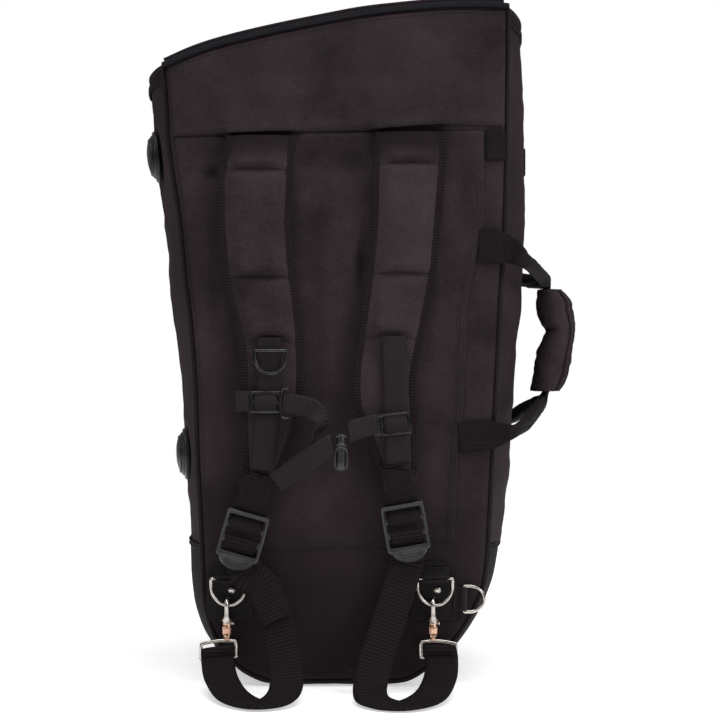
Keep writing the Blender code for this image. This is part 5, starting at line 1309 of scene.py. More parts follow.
def ladder(side):
    """Adjuster: a rim in front of the sewn tab, a bar for the tab, a bar for the webbing and a rounded thumb tab."""
    o, a, d = LOCK_AT[side]
    X, Yd = np.array(a, float), -np.array(d, float)
    shape = ([(-22, 3.5), (22, 3.5)] + arc(22, 2.0, 1.5, 90, 0, 3)[1:] + [(24.0, -20), (23.6, -43)] + arc(21.6, -45.5, 2.0, 0, -50, 3)
             + [(19.3 * math.cos(t), -46 - 14.4 * math.sin(t) ** 0.85) for t in [k * math.pi / 16 for k in range(1, 16)]]
             + arc(-21.6, -45.5, 2.0, 230, 180, 3) + [(-24.0, -20), (-23.5, 2.0)])
    slots = [round_rect(40, 9.5, 1.4, 0, -6.25), round_rect(40, 10.0, 1.4, 0, -21.0), round_rect(40, 10.0, 1.4, 0, -37.5)]
    lip = lambda x, y: np.where(y < -44, 1.1 * step(-y, 44, 60), 0.0)
    plate(f"ladder_lock_{side}_frame", [shape] + slots, 4.4, o, X, Yd, PLASTIC, f"lock_{side}", f"ladder_lock_{side}",
          bevel=1.2, res=3)
    P0 = np.array(o, float)
    XX, DD = unit(X), unit(d)
    # the rim and side rails are rounder than the plate; they, the dished thumb tab and its ribs are in the lighter
    # plastic, whose light colour is partly wear and partly a painted highlight
    at = lambda u, w, y: P0 + XX * u + DD * w + np.array([0, y, 0])
    rail = [at(-22.2, 40, -1.0), at(-22.4, 20, -1.2), at(-22.0, 1.5, -1.3), at(-20.5, -1.6, -1.3), at(0, -2.0, -1.4), at(20.5, -1.6, -1.3),
            at(22.0, 1.5, -1.3), at(22.4, 20, -1.2), at(22.2, 40, -1.0)]
    tube(f"lock_rail_{side}", smooth_line(rail, 160), 1.2, PLASTIC_WEAR_AND_HIGHLIGHT, f"lock_{side}", slot="moulded_plastic", sides=12)
    R, K = 16, 40
    t = np.linspace(0, 1, R)[:, None]
    w_, th = np.linspace(0, 1, R)[:, None], np.linspace(0, math.pi, K)[None]
    u_edge, w_edge = 19.4 * np.cos(th), 45.4 + 14.0 * np.sin(th) ** 0.85
    U, Wd = u_edge * (0.02 + 0.98 * t), 47.0 + (w_edge - 47.0) * t + 0 * th
    dish = -2.35 - 1.5 * step(t, 0.45, 0.92) * (1 - 0.9 * step(t, 0.94, 1.0)) + 0 * th
    A_ = P0 + U[..., None] * XX + Wd[..., None] * DD + np.stack([0 * U, dish, 0 * U], -1)
    B_ = P0 + U[..., None] * XX + Wd[..., None] * DD + np.stack([0 * U, 0 * U - 1.9, 0 * U], -1)
    shell(f"lock_thumb_{side}", A_, B_, [PLASTIC_WEAR_AND_HIGHLIGHT], f"lock_{side}", slot="moulded_plastic", angle=40)
    for k, w in enumerate((49.5, 53.0)):
        half = 10.5 - k * 2.4
        line = [at(u, w, -3.0) for u in np.linspace(-half, half, 12)]
        tube(f"lock_rib_{side}_{k}", line, 0.7, PLASTIC_WEAR_AND_HIGHLIGHT, f"lock_{side}", slot="moulded_plastic", sides=8)


for side in ("left", "right"):
    ladder(side)

LOOPS = {
    "left": dict(
        front=[((-61, -165, 80), (1, 0, 0.45)), ((-71, -159, 100), (1, 0, 0.45)), ((-80, -153, 118), (1, 0, 0.42))],
        back=[((-80, -150, 112), (1, 0, 0.42)), ((-69, -156, 92), (1, 0, 0.38)), ((-57, -170, 52), (1, 0, 0.2)),
              ((-50, -200, 20), (1, -0.05, 0.05)), ((-57, -231, 8), (0.8, -0.6, -0.1)), ((-80, -243, 4.6), (-0.3, -0.94, -0.08)),
              ((-105, -217, 8.0), (-0.82, -0.5, -0.12)), ((-121, -176, 19), (-1, -0.2, -0.08)), ((-127, -150, 34), (-1, 0, -0.15)),
              ((-127, -145, 42), (-1, 0, -0.15))],
        shift=(14, 8, 1.5, 16)),
    "right": dict(
        front=[((114, -145, 46), (-1, 0, 0.02)), ((116, -150, 36), (-1, 0, 0)), ((113, -180, 20), (-0.97, 0.2, 0.02)),
               ((100, -221, 8.5), (-0.85, 0.5, 0.12)), ((76, -247, 4.6), (-0.35, 0.9, 0.08)), ((51, -241, 5.0), (0.7, 0.72, 0.1)),
               ((38, -217, 10.5), (1, 0.1, 0.05)), ((44, -188, 38), (1, 0, -0.25)), ((58, -171, 78), (1, 0, -0.3)),
               ((71.5, -153.5, 118), (1, 0, -0.2))],
        back=[((67.5, -148.8, 116), (1, 0, -0.3)), ((50, -152, 80), (1, 0, -0.4)), ((32, -158, 46), (1, 0, -0.35)),
              ((23, -166, 24), (1, 0, -0.3))],
        shift=(-4.5, -3, -1.5, -5)),
}
for side in ("left", "right"):
    a = LOCK_AT[side][1]
    s = LOOPS[side]["shift"]
    over = [(s[0], 61, -150.4), (s[1], 51, -150.3), (s[2], 44.6, -150.1), (s[2] / 3, 41.2, -150.9), (0, 38.2, -153.2),
            (0, 35.4, -156.2), (0, 32.5, -157.4), (0, 29, -157.5), (0, 25.6, -157.0), (0, 24.4, -154), (0, 25.6, -151.0), (0, 29, -150.7),
            (0, 33, -150.0), (s[2] / 4, 38, -148.8), (s[2], 44, -148.3), (s[1], 52, -148.2), (s[3], 60, -148.3)]
    over = [(lock_point(side, u, w, y), a) for u, w, y in over]
    loop = webbing(f"lower_webbing_{side}_woven", LOOPS[side]["front"] + over + LOOPS[side]["back"], 36.0, 1.6, WEB, None,
                   f"lower_webbing_{side}", rib=0.34, pitch=4.0, sample=0.66)
    if side == "left":
        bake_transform(loop)
    else:
        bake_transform(loop)
# the webbing's ends, folded round the hook eyes and sewn down
for side, c, wd in (("left", (-127.0, -145.8, 41.0), (1, 0, 0.15)), ("right", (114.0, -145.8, 42.5), (1, 0, -0.02))):
    c, wd = np.array(c), np.array(wd)
    st = [((c + np.array([0, -0.6, -7.0])), wd), (c + np.array([0, -2.4, -2.0]), wd), (c + np.array([0, -3.6, 3.4]), wd),
          (c + np.array([0, -1.6, 6.4]), wd), (c + np.array([0, 2.0, 6.6]), wd), (c + np.array([0, 4.6, 3.4]), wd),
          (c + np.array([0, 4.4, -2.0]), wd), (c + np.array([0, 2.6, -7.0]), wd)]
    if side == "right":
        st = [(p + np.array([0, -1.6, 0]), w) for p, w in st]
    webbing(f"hook_eye_fold_{side}", st, 34.0, 1.6, WEB, "root", rib=0.2, pitch=4.0, sample=0.6)


# ---------------------------------------------------------------- accessory ring and chest strap
def d_ring_path(at, across, down, width, drop, wire, n=40):
    at, a, d = np.array(at, float), unit(across), unit(down)
    r = width / 2 - wire
    pts = [at + a * r * s for s in np.linspace(-0.96, 0.96, 24)]
    corner = 1.6
    bow = [at + a * r * math.cos(t) + d * (drop - wire) * (0.25 + 0.75 * math.sin(t)) for t in np.linspace(0, math.pi, n)]
    pts += [at + a * r + d * corner * 0.5] + bow + [at - a * r + d * corner * 0.5]
    return smooth_line(pts, 150, closed=True)


tube("strap_ring_wire", d_ring_path((-69, -160.2, 370), (1, 0, 0), (0, -0.03, -1), 38, 27, 1.9), 1.9, GUN, "strap_ring", "strap_d_ring",
     "dark_metal", sides=14, closed=True)
# points for the webbing loop that holds it, which is not built, and its row of stitches
y0 = -160.2
loop_pts = [((-71, -154.4, 356), (1, 0, 0)), ((-71, -156.4, 363), (1, 0, 0)), ((-71, -160.2, 366.4), (1, 0, 0)), ((-71, -163.5, 368.6), (1, 0, 0)),
            ((-71, -163.3, 372.4), (1, 0, 0)), ((-71, -160.2, 373.9), (1, 0, 0)), ((-71, -157.4, 376.0), (1, 0, 0)), ((-71, -156.2, 382), (1, 0, 0))]
rows = [(np.array([(-82, -157.4, 378.0), (-60, -157.4, 378.0)]), OUT_BACK)]
threads("strap_ring_stitches", rows, THREAD, "strap_left", pitch=2.8, length=2.1, r=0.4)


def slide_frame(tag, centre, turn, mats, body, node):
    """Slide of the chest strap: a frame with a middle bar, and the pad's webbing rolled over the bar."""
    a = np.array([math.cos(turn), 0, math.sin(turn)])
    d = np.array([-math.sin(turn), 0, math.cos(turn)])
    slots = [round_rect(27.5, 7.2, 1.2, 0, 5.6), round_rect(27.5, 7.2, 1.2, 0, -5.6)]
    plate(f"{tag}_frame", [round_rect(34, 24, 2.6)] + slots, 3.0, centre, a, d, mats, body, node, bevel=0.95, res=3)
    c = np.array(centre, float)
    at = lambda y, h: tuple(c + d * h + np.array([0, y, 0]))
    st = [(at(0.4, 10.4), a), (at(0.3, 8.4), a), (at(-1.0, 5.4), a), (at(-2.6, 2.2), a), (at(-2.9, -0.8), a), (at(-2.4, -3.4), a),
          (at(-1.0, -6.2), a), (at(0.3, -8.6), a), (at(0.4, -10.6), a)]
    webbing(f"{tag}_roll", st, 25.0, 1.5, WEB_FINE, body, slot="webbing", rib=0.16, pitch=2.4, sample=0.5)
    return a, d


a, d = slide_frame("chest_slide_left", (-74.5, -161.6, 314.6), 0.0, GUN, "chest_left", "chest_slider_left")
bracket = [(-49.5, -165.0, 328.6), (-54.0, -164.4, 328.8), (-56.6, -164.0, 327.2), (-57.4, -163.8, 322), (-57.6, -163.6, 312), (-57.2, -163.6, 302),
           (-56.2, -163.8, 298.4), (-53.0, -164.4, 297.0), (-49.0, -165.0, 297.2)]
tube("chest_slide_bracket", smooth_line(bracket, 80), 1.45, GUN, "chest_left", slot="dark_metal", sides=12)
stub = [((-106.5, -158.6, 315.0), (0, 0, 1)), ((-99.5, -160.6, 315.4), (0, 0, 1)), ((-93.5, -160.9, 315.2), (0, 0, 1)),
        ((-88.0, -158.9, 315.0), (0, 0, 1))]
webbing("chest_strap_stub_left", stub, 22.0, 1.5, WEB_SMALL, "chest_left", slot="webbing", rib=0.2, pitch=3.2)
a, d = slide_frame("chest_slide_right", (66, -161.4, 291), math.radians(6), GUN, "chest_right", "chest_slider_right")
for k, h in enumerate((9.6, -9.6)):
    P = [(50.4, -162.8, 289.4 + h), (46.0, -163.2, 288.8 + h), (42.4, -163.8, 288.4 + h * 0.8), (41.6, -164.2, 288.2 + h * 0.55)]
    tube(f"chest_slide_loop_{k}", smooth_line(P, 24), 1.3, GUN, "chest_right", slot="dark_metal", sides=10)
CHEST_LEFT = [
    ((-56, -163, 313), (0.05, 0, 1)), ((-38, -166, 311), (0.05, 0, 1)), ((-24, -171, 307), (0.25, 0.1, 1)),
    ((-17, -177, 299), (0.5, 0.5, 0.7)), ((-16, -184, 289), (0.35, 0.9, 0.2)), ((-21, -188, 280), (0.2, 1, 0.05)),
    ((-20, -190, 272), (0.0, 0.9, 0.4)), ((-12, -192, 269.5), (-0.1, 0.4, 0.9)), ((-5, -194.5, 271), (-0.15, 0.1, 1)),
    ((-2.6, -197.8, 270.5), (-0.18, 0, 1)), ((-5.5, -201, 269), (-0.25, 0, 1)), ((-17, -202.3, 261.5), (-0.45, 0, 0.9)),
    ((-32, -200, 251), (-0.55, 0, 0.84)), ((-48, -195, 240), (-0.55, 0, 0.84)), ((-62, -189.5, 229.5), (-0.55, 0, 0.84)),
]
cw = webbing("chest_webbing_left_woven", CHEST_LEFT, 22.0, 1.5, WEB_SMALL, None, "chest_webbing_left", rib=0.2, pitch=3.2)
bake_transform(cw)
CHEST_RIGHT = [((48.5, -163, 291), (0, 0, 1)), ((36, -167, 289), (0, 0, 1)), ((26, -173, 286.5), (0, 0.1, 1)),
               ((18.6, -180, 284), (0, 0.1, 1)), ((15.8, -190, 282), (0, 0, 1))]
webbing("chest_webbing_right_woven", CHEST_RIGHT, 22.0, 1.5, WEB_SMALL, "chest_right", "chest_webbing_right", rib=0.2, pitch=3.2)


def oct_ring(cx, cy, hx, hy, z, n=24, p=3.2):
    a = np.linspace(0, 2 * np.pi, n, endpoint=False)
    c, s = np.cos(a), np.sin(a)
    return np.stack([cx + hx * np.sign(c) * np.abs(c) ** (2 / p), cy + hy * np.sign(s) * np.abs(s) ** (2 / p), np.full(n, z)], 1)


rows = [oct_ring(7.5, -186, 4.4, 11.0, 242.2), oct_ring(7.5, -186, 5.4, 13.0, 243.2), oct_ring(7.5, -186, 6.1, 14.2, 246.5),
        oct_ring(7.5, -186, 6.2, 14.5, 252), oct_ring(7.5, -186, 5.7, 14.2, 258), oct_ring(7.5, -186, 6.2, 14.5, 264), oct_ring(7.5, -186, 6.2, 14.4, 267.2),
        oct_ring(7.5, -186, 5.7, 13.9, 268), oct_ring(7.5, -186, 4.1, 12.0, 268), oct_ring(7.5, -186, 3.6, 11.5, 267.4),
        oct_ring(7.5, -186, 3.6, 11.5, 247)]
sweep("buckle_socket_shell", np.array(rows), PLASTIC, "chest_right", "buckle_socket", "moulded_plastic", angle=45)
rows = [oct_ring(7.5, -186, 2.0, 7.0, 249), oct_ring(7.5, -186, 2.4, 8.4, 252), oct_ring(7.5, -186, 2.8, 9.4, 262), oct_ring(7.5, -186, 2.8, 9.8, 268.5),
        oct_ring(7.5, -186, 5.0, 13.0, 268.8), oct_ring(7.5, -186, 5.4, 13.5, 270), oct_ring(7.5, -186, 5.2, 13.2, 275),
        oct_ring(7.5, -186, 4.3, 12.6, 279), oct_ring(7.5, -186, 3.2, 11.6, 281)]
sweep("buckle_plug_body", np.array(rows), PLASTIC, "plug", "buckle_plug", "moulded_plastic", angle=45)
# rim of the buckle, seen edge on, and the two wire-thin webbing bars above it, the bars in the lighter plastic: partly
# wear, partly a painted highlight
yb = -186 - 13.4
edge = [(1.4, yb + 0.6, 249), (1.2, yb + 0.2, 256), (1.5, yb + 0.4, 263), (4.4, yb, 266.8), (10.6, yb, 266.8), (13.5, yb + 0.4, 263),
        (13.8, yb + 0.2, 256), (13.6, yb + 0.6, 249), (11.2, yb + 1.4, 244.6), (3.8, yb + 1.4, 244.6)]
tube("buckle_edge", smooth_line(edge, 120, closed=True), 1.25, PLASTIC, "chest_right", slot="moulded_plastic", sides=10, closed=True)
for k, (z, body, cy) in enumerate(((280.4, "plug", -186 - 11.6), (271.2, "plug", -186 - 12.6))):
    bar = [(2.6, cy + 1.6, z - 2.6), (4.2, cy + 0.6, z - 0.8), (7.5, cy, z), (10.8, cy + 0.6, z - 0.8), (12.4, cy + 1.6, z - 2.6)]
    tube(f"buckle_arc_{k}", smooth_line(bar, 30), 1.15, PLASTIC_WEAR_AND_HIGHLIGHT, body, slot="moulded_plastic", sides=10)

# ---------------------------------------------------------------- lower rings, patches and hooks
for side, bx, hx, ex in (("left", -116.0, -117.5, -127.0), ("right", 109.5, 107.0, 113.0)):
    ring_y = BACK_Y - 14.0
    wire_z = 121 - 28.9
    shape = ([(-25, 82), (-25, 116)] + [(-25 * math.cos(t), 116 + 23 * math.sin(t)) for t in [k * math.pi / 20 for k in range(1, 20)]]
             + [(25, 116), (25, 82)] + arc(19, 80, 6, 0, -70, 5) + [(14, 74.2), (-14, 74.2)] + arc(-19, 80, 6, -110, -180, 5))
    crown_at = float(back_h(np.array([bx]), np.array([105.0]))[0])
    base_y = BACK_Y - crown_at - 0.2
    shape = [(x, z - 105) for x, z in shape]
    plate(f"ring_patch_{side}_leather", [shape], 2.8, (bx, BACK_Y - 1.9 - min(crown_at, 1.2), 105), (1, 0, 0), (0, 0, 1), LEATHER, "root",
          f"ring_patch_{side}", bevel=0.8, res=3)
    py = BACK_Y - 1.9 - min(crown_at, 1.2) - 1.5
    ring_line = [(bx + (x * 0.90), py, 105 + (z - 0) * 0.90) for x, z in shape]
    threads(f"ring_patch_stitches_{side}", [(smooth_line(ring_line + ring_line[:1], 220), OUT_BACK)], THREAD, "root", pitch=3.0, length=2.1, r=0.4)
    # the leather keeper that the ring's bar runs through, as two rolls, and its half-moon tongue
    a = np.linspace(0, 2 * np.pi, 20, endpoint=False)
    for k, (zo, ry_, rz_) in enumerate(((2.3, 3.9, 2.5), (-2.4, 3.8, 2.6))):
        rings = []
        for x in np.linspace(-17, 17, 30):
            e = math.sqrt(max(0.0, 1 - (abs(x) / 17.3) ** 10))
            rings.append(np.stack([np.full(20, bx + x), ring_y + (ry_ * e + 0.2) * np.cos(a), 121 + zo + (rz_ * e + 0.2) * np.sin(a)], 1))
        sweep(f"ring_keeper_{side}_{k}", np.array(rings), LEATHER, "root", slot="patch_leather")
    st = [((bx, ring_y + 3.2, 122.4), (1, 0, 0)), ((bx, ring_y + 6.4, 124.2), (1, 0, 0)), ((bx, BACK_Y - 5.4, 127.4), (1, 0, 0)),
          ((bx, BACK_Y - 4.6, 133), (1, 0, 0))]
    webbing(f"ring_keeper_top_{side}", st, 32.0, 2.0, LEATHER, "root", slot="patch_leather", rib=0.0)
    moon = [(-16.5, 14.0), (16.5, 14.0), (16.5, 8.0)] + [(16.5 * math.cos(t), 4.0 - 12.2 * math.sin(t)) for t in [k * math.pi / 18 for k in range(0, 19)]]
    moon += [(-16.5, 8.0)]
    plate(f"ring_keeper_tongue_{side}", [moon], 2.4, (bx, BACK_Y - 5.6, 105), (1, 0, 0), (0, 0, 1), LEATHER, "root",
          bevel=0.7, res=3, bend=lambda x, y: 0.9 * np.clip((y - 8) / 6, 0, 1) ** 2)
    ml = [(bx + 13.8 * math.cos(t), BACK_Y - 6.9, 105 + 3.6 - 9.6 * math.sin(t)) for t in np.linspace(-0.25, math.pi + 0.25, 40)]
    threads(f"ring_tongue_stitches_{side}", [(np.array(ml), OUT_BACK)], THREAD, "root", pitch=2.7, length=1.8, r=0.46)
    tube(f"d_ring_{side}_wire", d_ring_path((bx, ring_y, 121), (1, 0, 0), (0, 0, -1), 42, 31, 1.9), 1.85, NICKEL, f"ring_{side}", f"d_ring_{side}",
         "nickel", sides=16, closed=True)
    turned(f"patch_rivet_{side}_cap", rounded([(0.05, 2.6), (2.4, 2.2), (3.9, 1.1), (4.2, 0.0), (0.05, 0.0)], n=5, r=0.8),
           (bx + 3, BACK_Y - 5.4 - 1.2, 108), (0, -1, 0), NICKEL, "root", f"patch_rivet_{side}", "nickel", steps=32)
    # snap hook: bow, barrel with collars, thumb knob and the swivel eye's neck
    bow = [(hx, ring_y - 4.5, wire_z - 18), (hx, ring_y - 6.2, wire_z - 11), (hx, ring_y - 6.8, wire_z - 3)]
    bow += [(hx, ring_y - 6.8 * math.cos(t), wire_z + 6.8 * math.sin(t)) for t in np.linspace(0.1, math.pi, 14)]
    bow += [(hx, ring_y + 6.8, wire_z - 2.5)]
    bp = smooth_line(bow, 90)
    tube(f"snap_hook_bow_{side}", bp, 2.0 + 0.45 * (1 - step(np.linspace(0, 1, 90), 0.62, 0.92)) + 1.7 * np.exp(-((np.linspace(0, 1, 90) - 0.02) / 0.17) ** 2), NICKEL, f"hook_{side}",
         f"snap_hook_{side}", "nickel", sides=14, up=(1, 0, 0))
    by = ring_y - 1.5
    top = wire_z - 13
    turned(f"snap_hook_barrel_{side}", rounded([(0.05, 0), (4.6, 0), (5.6, -1.2), (5.7, -3.4), (4.5, -4.6), (4.3, -8), (5.0, -9.2), (5.2, -13),
                                                (5.0, -17.4), (3.9, -19.0), (3.4, -22), (0.05, -22)], n=4, r=0.9),
           (hx, by, top), (0, 0, 1), NICKEL_WARM, f"hook_{side}", slot="nickel", steps=36)
    knob = rounded([(0.05, 2.6), (1.6, 2.4), (2.1, 1.4), (1.2, 0.4), (1.2, -1.0), (0.05, -1.0)], n=3, r=0.4)
    turned(f"snap_hook_knob_{side}", knob, (hx + 5.2, by, top - 6.5), (1, 0, 0), NICKEL, f"hook_{side}", slot="nickel", steps=20)
    gate = [(hx, ring_y + 6.4, wire_z - 15.6), (hx, ring_y + 6.7, wire_z - 12), (hx, ring_y + 6.8, wire_z - 6)]
    tube(f"hook_gate_{side}_blade", smooth_line(gate, 24), np.linspace(1.25, 1.0, 24), NICKEL, f"gate_{side}", f"hook_gate_{side}", "nickel",
         sides=12, up=(1, 0, 0))
    eye_w, z_hi, z_lo = 19.0, 52.0, 35.0
    lean = 0.12 if side == "right" else 0.25
    pts = []
    for u, z in ((-eye_w, z_hi - 2), (-eye_w + 3, z_hi), (-4, z_hi + 1.5), (4, z_hi + 1.5), (eye_w - 3, z_hi), (eye_w, z_hi - 2),
                 (eye_w, z_lo + 2), (eye_w - 2, z_lo), (-eye_w + 2, z_lo), (-eye_w, z_lo + 2)):
        pts.append((ex + u, ring_y - 1.5, z + lean * 0.4 * u * (1 if side == "left" else -1)))
    tube(f"hook_eye_{side}_wire", smooth_line(pts, 150, closed=True), 1.9, NICKEL, "root", f"hook_eye_{side}", "nickel", sides=14, closed=True)
    # neck between the barrel and the eye
    cz = z_hi + 1.5 + lean * 0.4 * (hx - ex) * (1 if side == "left" else -1)
    turned(f"snap_hook_neck_{side}", rounded([(0.05, 3.4), (2.2, 3.4), (2.4, 0.6), (3.6, -0.2), (3.8, -2.6), (2.6, -3.8), (0.05, -3.8)], n=4, r=0.7),
           (hx, by, (top - 22 + cz) / 2 + 1.4), (0, 0, 1), NICKEL_WARM, "root", slot="nickel", steps=30)

# ---------------------------------------------------------------- side rings and their tabs
at = (141.5, BACK_Y - 6.6, 98)
st = [((130.0, BACK_Y - 3.8, 98), (0, 0, 1)), ((134.5, BACK_Y - 4.0, 98), (0, 0, 1)), ((138.5, BACK_Y - 7.8, 98), (0, 0, 1)),
      ((141.5, BACK_Y - 9.8, 98), (0, 0, 1)), ((144.4, BACK_Y - 6.8, 98), (0, 0, 1)), ((141.8, BACK_Y - 3.7, 98), (0, 0, 1)),
      ((137.0, BACK_Y - 2.2, 98), (0, 0, 1)), ((131.0, BACK_Y - 1.8, 98), (0, 0, 1))]
webbing("side_tab_lower_woven", st, 26.0, 1.6, WEB_FINE, "root", "side_tab_lower", rib=0.14, pitch=2.4, sample=0.5)
threads("side_tab_lower_stitches", [(np.array([(135.2, BACK_Y - 5.6, 87.5), (135.2, BACK_Y - 5.6, 108.5)]), OUT_BACK)], THREAD, "root", pitch=2.8,
        length=2.1, r=0.4)
tube("side_ring_lower_wire", d_ring_path(at, (0, 0, -1), (1, 0, 0), 32, 24, 1.9), 1.9, NICKEL, "ring_side_lower",
     "side_ring_lower", "nickel", sides=14, closed=True)
UP_Y = 84.0
ux = float([j for j in frame["joints"] if j["name"] == "side_ring_upper_pivot"][0]["pos_m"][0]) / MM
uy = UP_Y
tang = unit([float(wall_x(1, 597, UP_Y + 18) - wall_x(1, 597, UP_Y)), 18, 0])
tube("side_ring_upper_wire", d_ring_path((ux, uy, 597), (0, 0, -1), tang, 38, 26, 1.9), 1.9, NICKEL, "ring_side_upper", "side_ring_upper",
     "nickel", sides=14, closed=True)
fx = lambda y, o: (float(wall_x(1, 597, y)) + o, y, 597)
st = [(fx(44, 3.4), (0, 0, 1)), (fx(56, 3.4), (0, 0, 1)), (fx(68, 3.6), (0, 0, 1)), (fx(76, 4.6), (0, 0, 1)), ((ux + 2.2, uy - 3.6, 597), (0, 0, 1)),
      ((ux + 3.4, uy + 0.4, 597), (0, 0, 1)), ((ux + 1.0, uy + 3.3, 597), (0, 0, 1)), ((ux - 2.4, uy + 2.4, 597), (0, 0, 1)),
      ((ux - 3.3, uy - 1.6, 597), (0, 0, 1)), (fx(74, 1.8), (0, 0, 1)), (fx(60, 1.7), (0, 0, 1))]
webbing("side_tab_upper_woven", st, 33.0, 1.5, WEB_FINE, "root", "side_tab_upper", rib=0.14, pitch=2.4, sample=0.5)
out = np.array([1.0, 0.0, 0])
rows = [(np.array([(fx(y, 4.4)[0], y, 582.5), (fx(y, 4.4)[0], y, 611.5)]), out) for y in (48, 66)]
rows += [(np.array([(fx(y, 4.4)[0], y, z) for y in np.linspace(48, 66, 8)]), out) for z in (583.5, 610.5)]
threads("side_tab_upper_stitches", rows, THREAD, "root", pitch=2.9, length=2.1, r=0.4)
xs = np.linspace(165.6, 187.2, 9)
zs = np.linspace(579.5, 613.5, 40)
GX, GZ = np.meshgrid(xs, zs)
edge_ = np.minimum(np.minimum(GX - xs[0], xs[-1] - GX), np.minimum(GZ - zs[0], zs[-1] - GZ))
yo = back_pt(GX, GZ, 1.7)[..., 1] - 1.5 * np.sqrt(np.clip(1 - (1 - np.clip(edge_ / 1.4, 0, 1)) ** 2, 0, 1))
A = np.stack([GX, yo - 0.22 * np.abs(np.sin(np.pi * GX / 2.4)), GZ], -1)
B = np.stack([GX, back_pt(GX, GZ, 1.0)[..., 1], GZ], -1)
shell("side_patch_upper_woven", A, B, [WEB_TAB], "root", slot="webbing",
      uv=np.concatenate([np.stack([GX, GZ], -1).reshape(-1, 2)] * 2))
rows = [(np.array([(x, float(back_pt(x, 596.0, 3.4)[1]), 582.0), (x, float(back_pt(x, 596.0, 3.4)[1]), 611.0)]), OUT_BACK) for x in (167.8, 184.8)]
threads("side_patch_upper_stitches", rows, THREAD, "root", pitch=2.9, length=2.1, r=0.4)


# ---------------------------------------------------------------- carry handle
def handle_strap(tag, near):
    """A carry strap sewn flat on the panel, rolled into a cord on its way through the grip."""
    s = -1 if near else 1

    def face(z, out=0.0):
        return (BACK_Y - 4.6 - out) if near else (float(front_y(z)) + 2.4 + out)

    cord_y = (-105, -55, -8, 3) if near else (141, 90, 38, 27)
    low_y = (3.5, -10, -42, -92, -131) if near else (26.5, 40, 72, 108, 150)
    up, dn = (0.1, 0.0 if near else 0.107, 1), (0, 0.0 if near else -0.107, -1)
    flat, roll, core = (37.0, 1.7, 8.0), (16.8, 12.0, 2.4), (15.0, 6.0, 2.4)
    y_in = 15 + s * 8.3
    inside = (0, -s, 0)
    end_x = 136 if near else 147
    st = [
        ((158, face(485.5), 485.5), up, flat), ((178, face(483.8), 483.8), up, flat),
        ((193, face(479.5, 1.6), 479.5), (0.2, 0, 1), (29, 3.2, 5)), ((207, face(469.5, 7), 469.5), (0, 0, 1), (18, 9.5, 2.6)),
        ((220, cord_y[0], 463), (0, 0, 1), roll), ((233, cord_y[1], 457), (0, 0, 1), roll),
        ((244, cord_y[2], 453), (0, 0, 1), roll), ((247.2, cord_y[3], 452), (0, -0.6 * s, 0.8), (14.5, 10.0, 2.4)),
        ((248.6, y_in, 441), inside, core), ((251.5, y_in, 430), inside, core), ((256, y_in, 402), inside, core),
        ((257, y_in, 380), inside, core), ((256, y_in, 358), inside, core), ((252.2, y_in, 338), inside, core),
        ((246.6, y_in, 322), inside, core), ((243, low_y[0], 312.5), (0, -0.6 * s, -0.8), (14.5, 10.0, 2.4)),
        ((238, low_y[1], 308), (0, 0, -1), roll), ((229.5, low_y[2], 302), (0, 0, -1), roll),
        ((213, low_y[3], 289.5), (0, 0, -1), roll), ((198, low_y[4], 282.5), (0, 0, -1), (14, 7.5, 2.6)),
        ((184, face(280, 3), 280), dn, (24, 3.5, 4)), ((168, face(277.5), 277.5), dn, (32, 1.7, 8)),
        ((end_x, face(274.5), 274.5), dn, (33, 1.7, 8)),
    ]
    o = gathered(f"handle_strap_{tag}_woven", st, WEB_TAB, None, f"handle_strap_{tag}")
    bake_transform(o)
    # sewn ends: rows of stitches and a cross
    od = OUT_BACK if near else -OUT_BACK
    lean_y = 0.0 if near else 0.107
    lines = []
    for x0, x1, zc, hh in ((160.5, 186, 484.6, 15.5), (end_x + 3, 168, 276.0, 13.5)):
        yy = face(zc) + s * 1.05
        at = lambda x, dz: (x, yy + lean_y * dz, zc + dz)
        c = [at(x0, -hh), at(x1, -hh * 0.86), at(x1, hh * 0.86), at(x0, hh)]
        for i in range(4):
            lines.append((np.array([c[i], c[(i + 1) % 4]]), od))
        lines += [(np.array([c[0], c[2]]), od), (np.array([c[1], c[3]]), od)]
        for f in (-0.55, 0.0, 0.55):
            lines.append((np.array([at(x0, hh * f), at(x1, hh * f * 0.86)]), od))
    threads(f"handle_strap_{tag}_stitches", lines, THREAD, "root", pitch=2.7, length=2.0, r=0.4)
    # bar of stitches where each end is gathered
    lines = []
    for x, zc, hh in ((189.5, 481.2, 12.5), (187.5, 280.2, 10.0)):
        yy = face(zc, 2.4) - 0.4 if near else face(zc, 2.4) + 0.4
        for dx in (-1.3, 0.0, 1.3):
            lines.append((np.array([(x + dx, yy - lean_y * hh, zc - hh), (x + dx, yy + lean_y * hh, zc + hh)]), od))
    threads(f"handle_strap_{tag}_bartack", lines, THREAD_DARK, "root", pitch=2.0, length=1.6, r=0.5)


handle_strap("back", True)
handle_strap("front", False)
GRIP_SHAPE = [(443.2, 240.5, 260), (442.2, 237.6, 264.5), (439.0, 236.5, 269.0), (434.0, 236.2, 273.4), (428, 236.2, 276.4), (415.5, 236.5, 280),
              (406, 239.0, 281), (398, 245.6, 281), (391.5, 244.6, 280.8), (383, 241.6, 280.2), (370, 236.8, 278.9), (355, 234, 275.8),
              (342, 231.8, 272.4), (331.7, 229.8, 268.6), (326.5, 229.2, 264.5), (324.2, 230.2, 261), (323.2, 233, 257)]
GRIP_LINE = [(247, 15, 444), (253, 15, 425), (256, 15, 400), (257, 15, 380), (256, 15, 360), (252, 15, 338), (245, 15, 320)]


